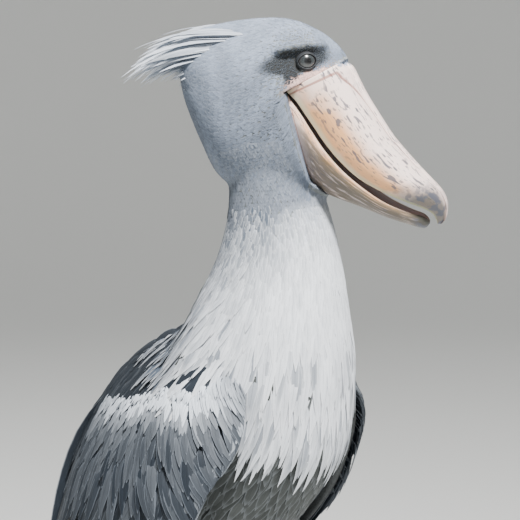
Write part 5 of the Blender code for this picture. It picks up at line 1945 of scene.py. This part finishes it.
@dataclass
class Bill:
    """The great bill: a ridged and hooked upper half over a broad trough."""

    around: int = 96
    along: int = 110
    nostril_run: float = 0.062

    @staticmethod
    def groove_at(run: Array) -> Array:
        """Where round the upper half its groove lies: nearer the ridge further on."""
        return np.interp(run, (0.0, 0.025, 0.06, 0.095, 0.155, 0.265, 0.40, 1.0),
                         (0.420, 0.393, 0.367, 0.335, 0.285, 0.215, 0.190, 0.170))

    def build(self) -> list:
        """Both halves as objects with the numbers that their finish reads."""
        made = []
        for name, point in (("bill_upper_horn", self._upper), ("bill_lower_horn", self._lower)):
            bm = closed_tube(
                lambda turn, run: head_turned(point(turn, run)), self.around, self.along)
            obj = add_object(name, bm, BillFinish().material())
            self._number(obj, upper=point == self._upper)
            made.append(obj)
        return made

    @staticmethod
    def _round(turn: Array) -> tuple[Array, Array]:
        """How far round a half a turn is, from its upper middle line to the lower, and its side."""
        return np.where(turn <= 0.5, 2 * turn, 2 * (1 - turn)), np.where(turn <= 0.5, 1.0, -1.0)

    @staticmethod
    def _section(rings: Sequence, section: Sequence, around: Array, run: Array) -> tuple:
        """The chord, half width, height and share of the width of a place on a half."""
        *chord, half = np.moveaxis(curve(rings, run * (len(rings) - 1)), -1, 0)
        height, width = np.moveaxis(curve(section, around * (len(section) - 1)), -1, 0)
        return chord, half, height, width

    def _upper(self, turn: Array, run: Array) -> Array:
        """The upper half: ridge, groove each side of it, bowed walls and slits."""
        around, side = self._round(turn)
        chord, half, height, width = self._section(
            UPPER_BILL_RINGS, UPPER_BILL_SECTION, around, run)
        ridge = np.minimum(1.0, half / BILL_HALF_WIDTH + 0.15)
        out = np.where(around > 0.26, half * width, half * width / ridge)
        off = around - self.groove_at(run)
        dent = np.exp(-((off / 0.016) ** 2) - ((run - self.nostril_run) / 0.030) ** 2)
        groove = bell(off, 0.020) * limited(1.1 - run)
        height = height - 0.050 * dent - 0.030 * groove * limited(run / 0.03)
        height = height - 0.16 * bell(run, 0.022) * limited((height - 0.5) / 0.5)
        return world(*on_chord(*chord, height), side * out)

    def _lower(self, turn: Array, run: Array) -> Array:
        """The lower half: flat floor, rounded keel, blunt tip."""
        around, side = self._round(turn)
        chord, half, height, width = self._section(
            LOWER_BILL_RINGS, LOWER_BILL_SECTION, around, run)
        blunt = np.sqrt(1.0 - 0.85 * limited((run - 0.88) / 0.12) ** 2)
        height, half = height * blunt, half * blunt
        return world(*on_chord(*chord, height), side * half * width)

    def _number(self, obj: Object, upper: bool) -> None:
        """Stores where each vertex lies, and how warm or dark the horn is there: olive patches with
        painted shade under the lower half, and a dark hook with painted shade under it.
        """
        mesh = obj.data
        run = read_attribute(mesh, "run")
        around, side = self._round(read_attribute(mesh, "turn"))
        warmest = 0.63 if upper else 0.40
        olive_start = np.interp(run, (0.0, 0.25, 0.5, 0.7, 1.0), (0.42, 0.38, 0.34, 0.29, 0.24))
        # Towards the underside and further on: the horn's own olive patches with painted shade
        # under the lower half.
        olive_and_shade = limited((around - olive_start) / 0.09)
        olive_and_shade = olive_and_shade * np.interp(run, (0.0, 0.15, 0.4), (0.35, 0.85, 1.0))
        warm = bell(around - warmest, 0.105) * np.interp(run, (0, 0.2, 0.7, 1), (0.4, 1, 1, 0))
        if upper:
            # Darker towards the hook's sides and underside: its own dark horn with painted shade
            # under it.
            hook = limited((run - 0.56) / 0.11) * np.clip((around - 0.22) / 0.2, 0.25, 1)
        else:
            hook = limited((run - 0.76) / 0.09)
        numbers = {
            "girth": side * around,
            "off_groove": np.abs(around - self.groove_at(run)) if upper else np.ones(len(run)),
            "warm": warm,
            "edge_place": around if upper else 0.98 - around,
            "hook": hook,
            "olive_and_shade": np.zeros(len(run)) if upper else olive_and_shade,
        }
        for name, values in numbers.items():
            add_attribute(mesh, name, values)


@dataclass
class Eye:
    """An eyeball with its iris, and the lids round it."""

    side: Side
    opening: tuple = (0.0102, 0.0084)
    reach: float = 0.0150
    lid_thickness: float = 0.0005

    def build(self) -> tuple:
        """The eyeball and the lids."""
        place = eye_frame(self.side)
        bm = bmesh.new()
        bmesh.ops.create_uvsphere(bm, u_segments=64, v_segments=48, radius=EYE_RADIUS)
        x, y, z = places_of(bm).T
        off, spoke = np.arccos(np.clip(z / EYE_RADIUS, -1, 1)), np.arctan2(y, x) / math.tau
        bmesh.ops.transform(bm, matrix=place, verts=bm.verts)
        ball = add_object("eyeball_" + self.side.word, bm, EyeFinish().material())
        add_attribute(ball.data, "off_axis", off)
        add_attribute(ball.data, "spoke", np.abs(spoke))
        return ball, self._lids(place)

    def _lids(self, place: Matrix) -> Object:
        """A rolled rim of bare skin round the almond opening."""
        bm, turn, s = rolled_grid(64, 14)
        angle = turn * math.tau
        open_x = self.opening[0] * (1 + 0.10 * np.cos(angle) ** 8)
        open_y = self.opening[1]
        opening = 1.0 / np.sqrt((np.cos(angle) / open_x) ** 2 + (np.sin(angle) / open_y) ** 2)
        radius = opening * (0.97 + 0.03 * s) + (self.reach - opening) * s ** 1.2
        roll = 0.0017 * np.sin(math.pi * np.minimum(s * 1.6 + 0.08, 1.0))
        shell = EYE_RADIUS + 0.0002 + roll - 0.0030 * s ** 2
        crease = 0.0004 * np.sin(s * 26.0) * s * (1 - s)
        within = np.minimum(radius, shell * 0.995)
        height = np.sqrt(np.maximum((shell + crease) ** 2 - within ** 2, 1e-9))
        past = radius - shell * 0.98
        height = np.where(past > 0, np.minimum(height, 0.002) - past, height)
        move_to(bm, np.stack([radius * np.cos(angle), radius * np.sin(angle), height], axis=-1))
        bmesh.ops.remove_doubles(bm, verts=bm.verts, dist=1e-6)
        bmesh.ops.transform(bm, matrix=place, verts=bm.verts)
        bmesh.ops.recalc_face_normals(bm, faces=bm.faces)
        if sum(f.normal.dot(place.to_3x3() @ Vector((0, 0, 1))) for f in bm.faces) < 0:
            bmesh.ops.reverse_faces(bm, faces=bm.faces)
        lids = add_object("lids_" + self.side.word, bm, LID_SKIN.material())
        solid = lids.modifiers.new("Solidify", "SOLIDIFY")
        solid.thickness = self.lid_thickness
        baked(lids)
        return lids


@dataclass
class Leg:
    """A bare shank and foot with four toes and claws."""

    side: Side
    foot_voxel: float = 0.0012
    foot_smoothing: int = 2
    scute_height: float = 0.00035
    toe_scute_height: float = 0.00030

    def build(self) -> list:
        """Shank, foot and claws."""
        word = self.side.word
        skin = LEG_SKIN.material()
        shank = add_object("shank_skin_" + word, closed_tube(self._shank, 40, 110), skin)
        whole, claws = closed_tube(self._hub, 32, 12), bmesh.new()
        for toe in TOES:
            flesh, claw = 1.0 - 0.8 * CLAW_LENGTH / toe[0], 1.0 - CLAW_LENGTH / toe[0]
            for target, *ends in ((whole, 0.0, flesh), (claws, claw, 1.0)):
                join(target, closed_tube(
                    lambda turn, run: self._toe(toe, turn, between(ends, run)), 24, 70))
        foot = add_object("foot_skin_" + word, whole, skin)
        remeshed(foot, self.foot_voxel, self.foot_smoothing)
        return [shank, foot, add_object("claws_" + word, claws, CLAW_HORN.material())]

    def _shank(self, turn: Array, run: Array) -> Array:
        """The shank, with low ring scutes down its front."""
        rings = curve(SHANK_RINGS, run * (len(SHANK_RINGS) - 1))
        s, c = circle(turn)
        scutes = self.scute_height * np.abs(np.sin(rings[..., 1] * 420.0)) * limited(c)
        radius = rings[..., 2] - 0.0004 + scutes
        out = self.side.value * LEG_OUT + radius * s
        return world(rings[..., 0] + radius * c, rings[..., 1], out)

    def _hub(self, turn: Array, run: Array) -> Array:
        """The pad that the toes spring from."""
        radius = 0.0160 - 0.004 * run
        s, c = circle(turn)
        out = self.side.value * LEG_OUT + radius * s
        return world(FOOT_FORWARD + radius * c, FOOT_HEIGHT * run, out)

    def _toe(self, toe: tuple, turn: Array, run: Array) -> Array:
        """A toe on the floor: flat sole, swollen joints, curved claw."""
        length, heading, half = toe
        along = length * run
        reach = np.maximum(0.0, (along - (length - CLAW_LENGTH)) / CLAW_LENGTH)
        radius = half * (1.0 - 0.35 * run) * (1.0 + 0.10 * np.cos(run * math.tau * 3.5))
        narrowed = np.maximum(0.06, 0.72 * np.maximum(0.0, 1.0 - reach) ** 0.7)
        radius = np.where(reach > 0, radius * narrowed, radius)
        scute = self.toe_scute_height * np.abs(np.sin(along * 480.0)) * (reach <= 0)
        s, c = circle(turn)
        drop = 0.55 * half * np.sin(math.pi * np.minimum(reach * 1.2, 1.0))
        height = np.maximum(radius * 0.95 * (1.0 + np.maximum(c, -0.80)) - 0.19 * radius, 0.0)
        height = height + np.where(reach > 0, drop, 0.0) + scute * limited(c)
        angle = math.radians(heading * self.side.value)
        forward = FOOT_FORWARD + along * math.cos(angle) - radius * s * math.sin(angle)
        across = along * math.sin(angle) + radius * s * math.cos(angle)
        return world(forward, height, self.side.value * LEG_OUT + across)


@dataclass
class Studio:
    """The floor, the lights and the camera at the photo's angle."""

    azimuth: float = math.radians(-56.0)
    elevation: float = math.radians(8.0)
    distance: float = 2.4
    target: tuple = (-0.0095, -0.0835, 0.90)
    pixels_per_metre: float = 820.0
    frame_pixels: float = 520.0
    sensor: float = 36.0
    # Name, place, size, power and colour
    lamps: tuple = (
        ("key", (-1.0, -1.5, 3.8), 0.55, 400.0, (1.0, 0.98, 0.95)),
        ("fill", (-2.6, -1.4, 1.0), 2.2, 6.0, (0.90, 0.95, 1.0)),
        ("back", (0.9, 2.0, 3.0), 1.0, 40.0, (0.97, 0.98, 1.0)),
    )
    aim: tuple = (0.0, -0.05, 0.9)
    air: tuple = (0.86, 0.90, 0.95, 1.0)
    air_strength: float = 0.17
    floor_reach: float = 11.0
    wall_height: float = 7.0
    flat_share: float = 0.42

    def build(self) -> Object:
        """Sets up the studio and returns its floor."""
        self._camera()
        for lamp in self.lamps:
            self._light(*lamp)
        sky = bpy.data.worlds.new("studio air")
        bpy.context.scene.world = sky
        sky.use_nodes = True
        inputs = {"Color": self.air, "Strength": self.air_strength}
        NodeTree(sky.node_tree).feed(sky.node_tree.nodes["Background"], inputs)
        bm = bmesh.new()
        bmesh.ops.create_grid(bm, x_segments=90, y_segments=90, size=1.0)
        for v in bm.verts:
            reach = max(abs(v.co.x), abs(v.co.y))
            flat = v.co.normalized() * reach * self.floor_reach if reach else v.co.copy()
            climb = max(0.0, reach - self.flat_share) / (1.0 - self.flat_share)
            rise = Vector((0.0, 0.0, self.wall_height * climb ** 2.2))
            v.co = flat * (1.0 - 0.28 * climb ** 2) + rise
        return add_object("studio_floor", bm, FloorFinish().material())

    def _camera(self) -> None:
        """A camera that frames the bird as the photo does."""
        data = bpy.data.cameras.new("camera")
        data.sensor_width = self.sensor
        data.lens = self.pixels_per_metre * self.distance / self.frame_pixels * self.sensor
        camera = link("camera", data)
        bpy.context.scene.camera = camera
        flat = math.cos(self.elevation)
        across, ahead = math.sin(self.azimuth) * flat, math.cos(self.azimuth) * flat
        back = Vector((across, -ahead, math.sin(self.elevation)))
        camera.location = Vector(self.target) + back * self.distance
        camera.rotation_euler = (-back).to_track_quat("-Z", "Y").to_euler()

    def _light(self, name: str, place: tuple, size: float, power: float, colour: tuple) -> None:
        """A square soft light aimed at the breast."""
        data = bpy.data.lights.new(name, "AREA")
        data.shape = "SQUARE"
        data.size = size
        data.energy = power
        data.color = colour
        lamp = link(name, data)
        lamp.location = place
        lamp.rotation_euler = (Vector(self.aim) - Vector(place)).to_track_quat("-Z", "Y").to_euler()


class Shoebill:
    """The whole bird: builds its parts and ties each to the frame."""

    def __init__(self) -> None:
        """Builds the skin, which the feathers need."""
        self.skin = Skin().build()

    def build(self) -> None:
        """Makes every piece, ties it to the bird and hides the model's parts that it stands in for.
        """
        cores = {side: Wing(side).core() for side in Side}
        horn = Bill().build()
        on_skin = Snap(self.skin)
        on_face = Snap(self.skin, *horn, outermost=True, reach=0.02)
        on_head = Snap(self.skin, outermost=True, reach=0.02)
        over_all = Snap(self.skin, *cores.values(), outermost=True)
        coats = HeadCoat().build(on_head, on_face)
        coats += BodyCoat().build(on_skin, over_all) + Tail().coats()
        self._tone_skin(coats)
        self._keep(self.skin, "plumage", "head", "neck", "torso", "thigh_left", "thigh_right")
        for side, core in cores.items():
            self._keep(core, "dark_plumage", "wing_" + side.word)
            for coat in Wing(side).coats():
                self._keep(coat.make(), "dark_plumage")
        for coat in coats:
            nodes = ("tail",) if coat.name == "tail_feathers" else ()
            self._keep(coat.make(), "dark_plumage" if nodes else "plumage", *nodes)
        for obj, node in zip(horn, ("bill_upper", "bill_lower")):
            self._keep(obj, "horn", node)
        for side in Side:
            ball, lids = Eye(side).build()
            self._keep(ball, "eye", "eye_" + side.word)
            self._keep(lids, "plumage")
            shank, foot, claws = Leg(side).build()
            self._keep(shank, "leg_skin", "shank_" + side.word)
            self._keep(foot, "leg_skin", "foot_" + side.word)
            self._keep(claws, "leg_skin")

    def _tone_skin(self, coats: list) -> None:
        """Gives the skin the tone of the feathers that grow nearest."""
        known = np.concatenate([root for coat in coats for root in coat.roots])
        tree = KDTree(len(known))
        for k, row in enumerate(known):
            tree.insert(row[:3], k)
        tree.balance()
        spots = coordinates(self.skin)
        tone = np.array([known[tree.find(spot)[1], 3] for spot in spots])
        add_attribute(self.skin.data, "tone", tone * 0.9)
        near = in_bill_wedge(spots, 0.0085) & (spots[:, 2] > GAPE_CORNER[1] - 0.002)
        add_attribute(self.skin.data, "bare", near * limited(HeadCoat.under_eye(spots) * 3.0))

    @staticmethod
    def _keep(piece: Object, slot: str, *nodes: str) -> None:
        """Ties a piece to the bird's one body, hides the model's parts that it stands in for, and
        logs its triangles.
        """
        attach(piece, "root")
        if nodes:
            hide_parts(*nodes)
        piece.data.calc_loop_triangles()
        log.info("%s: %d triangles", piece.name, len(piece.data.loop_triangles))


def main() -> None:
    """Builds the bird and the studio."""
    logging.basicConfig(level=logging.INFO, format="%(name)s %(message)s")
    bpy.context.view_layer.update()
    Shoebill().build()
    Studio().build()


if __name__ == "__main__":
    main()
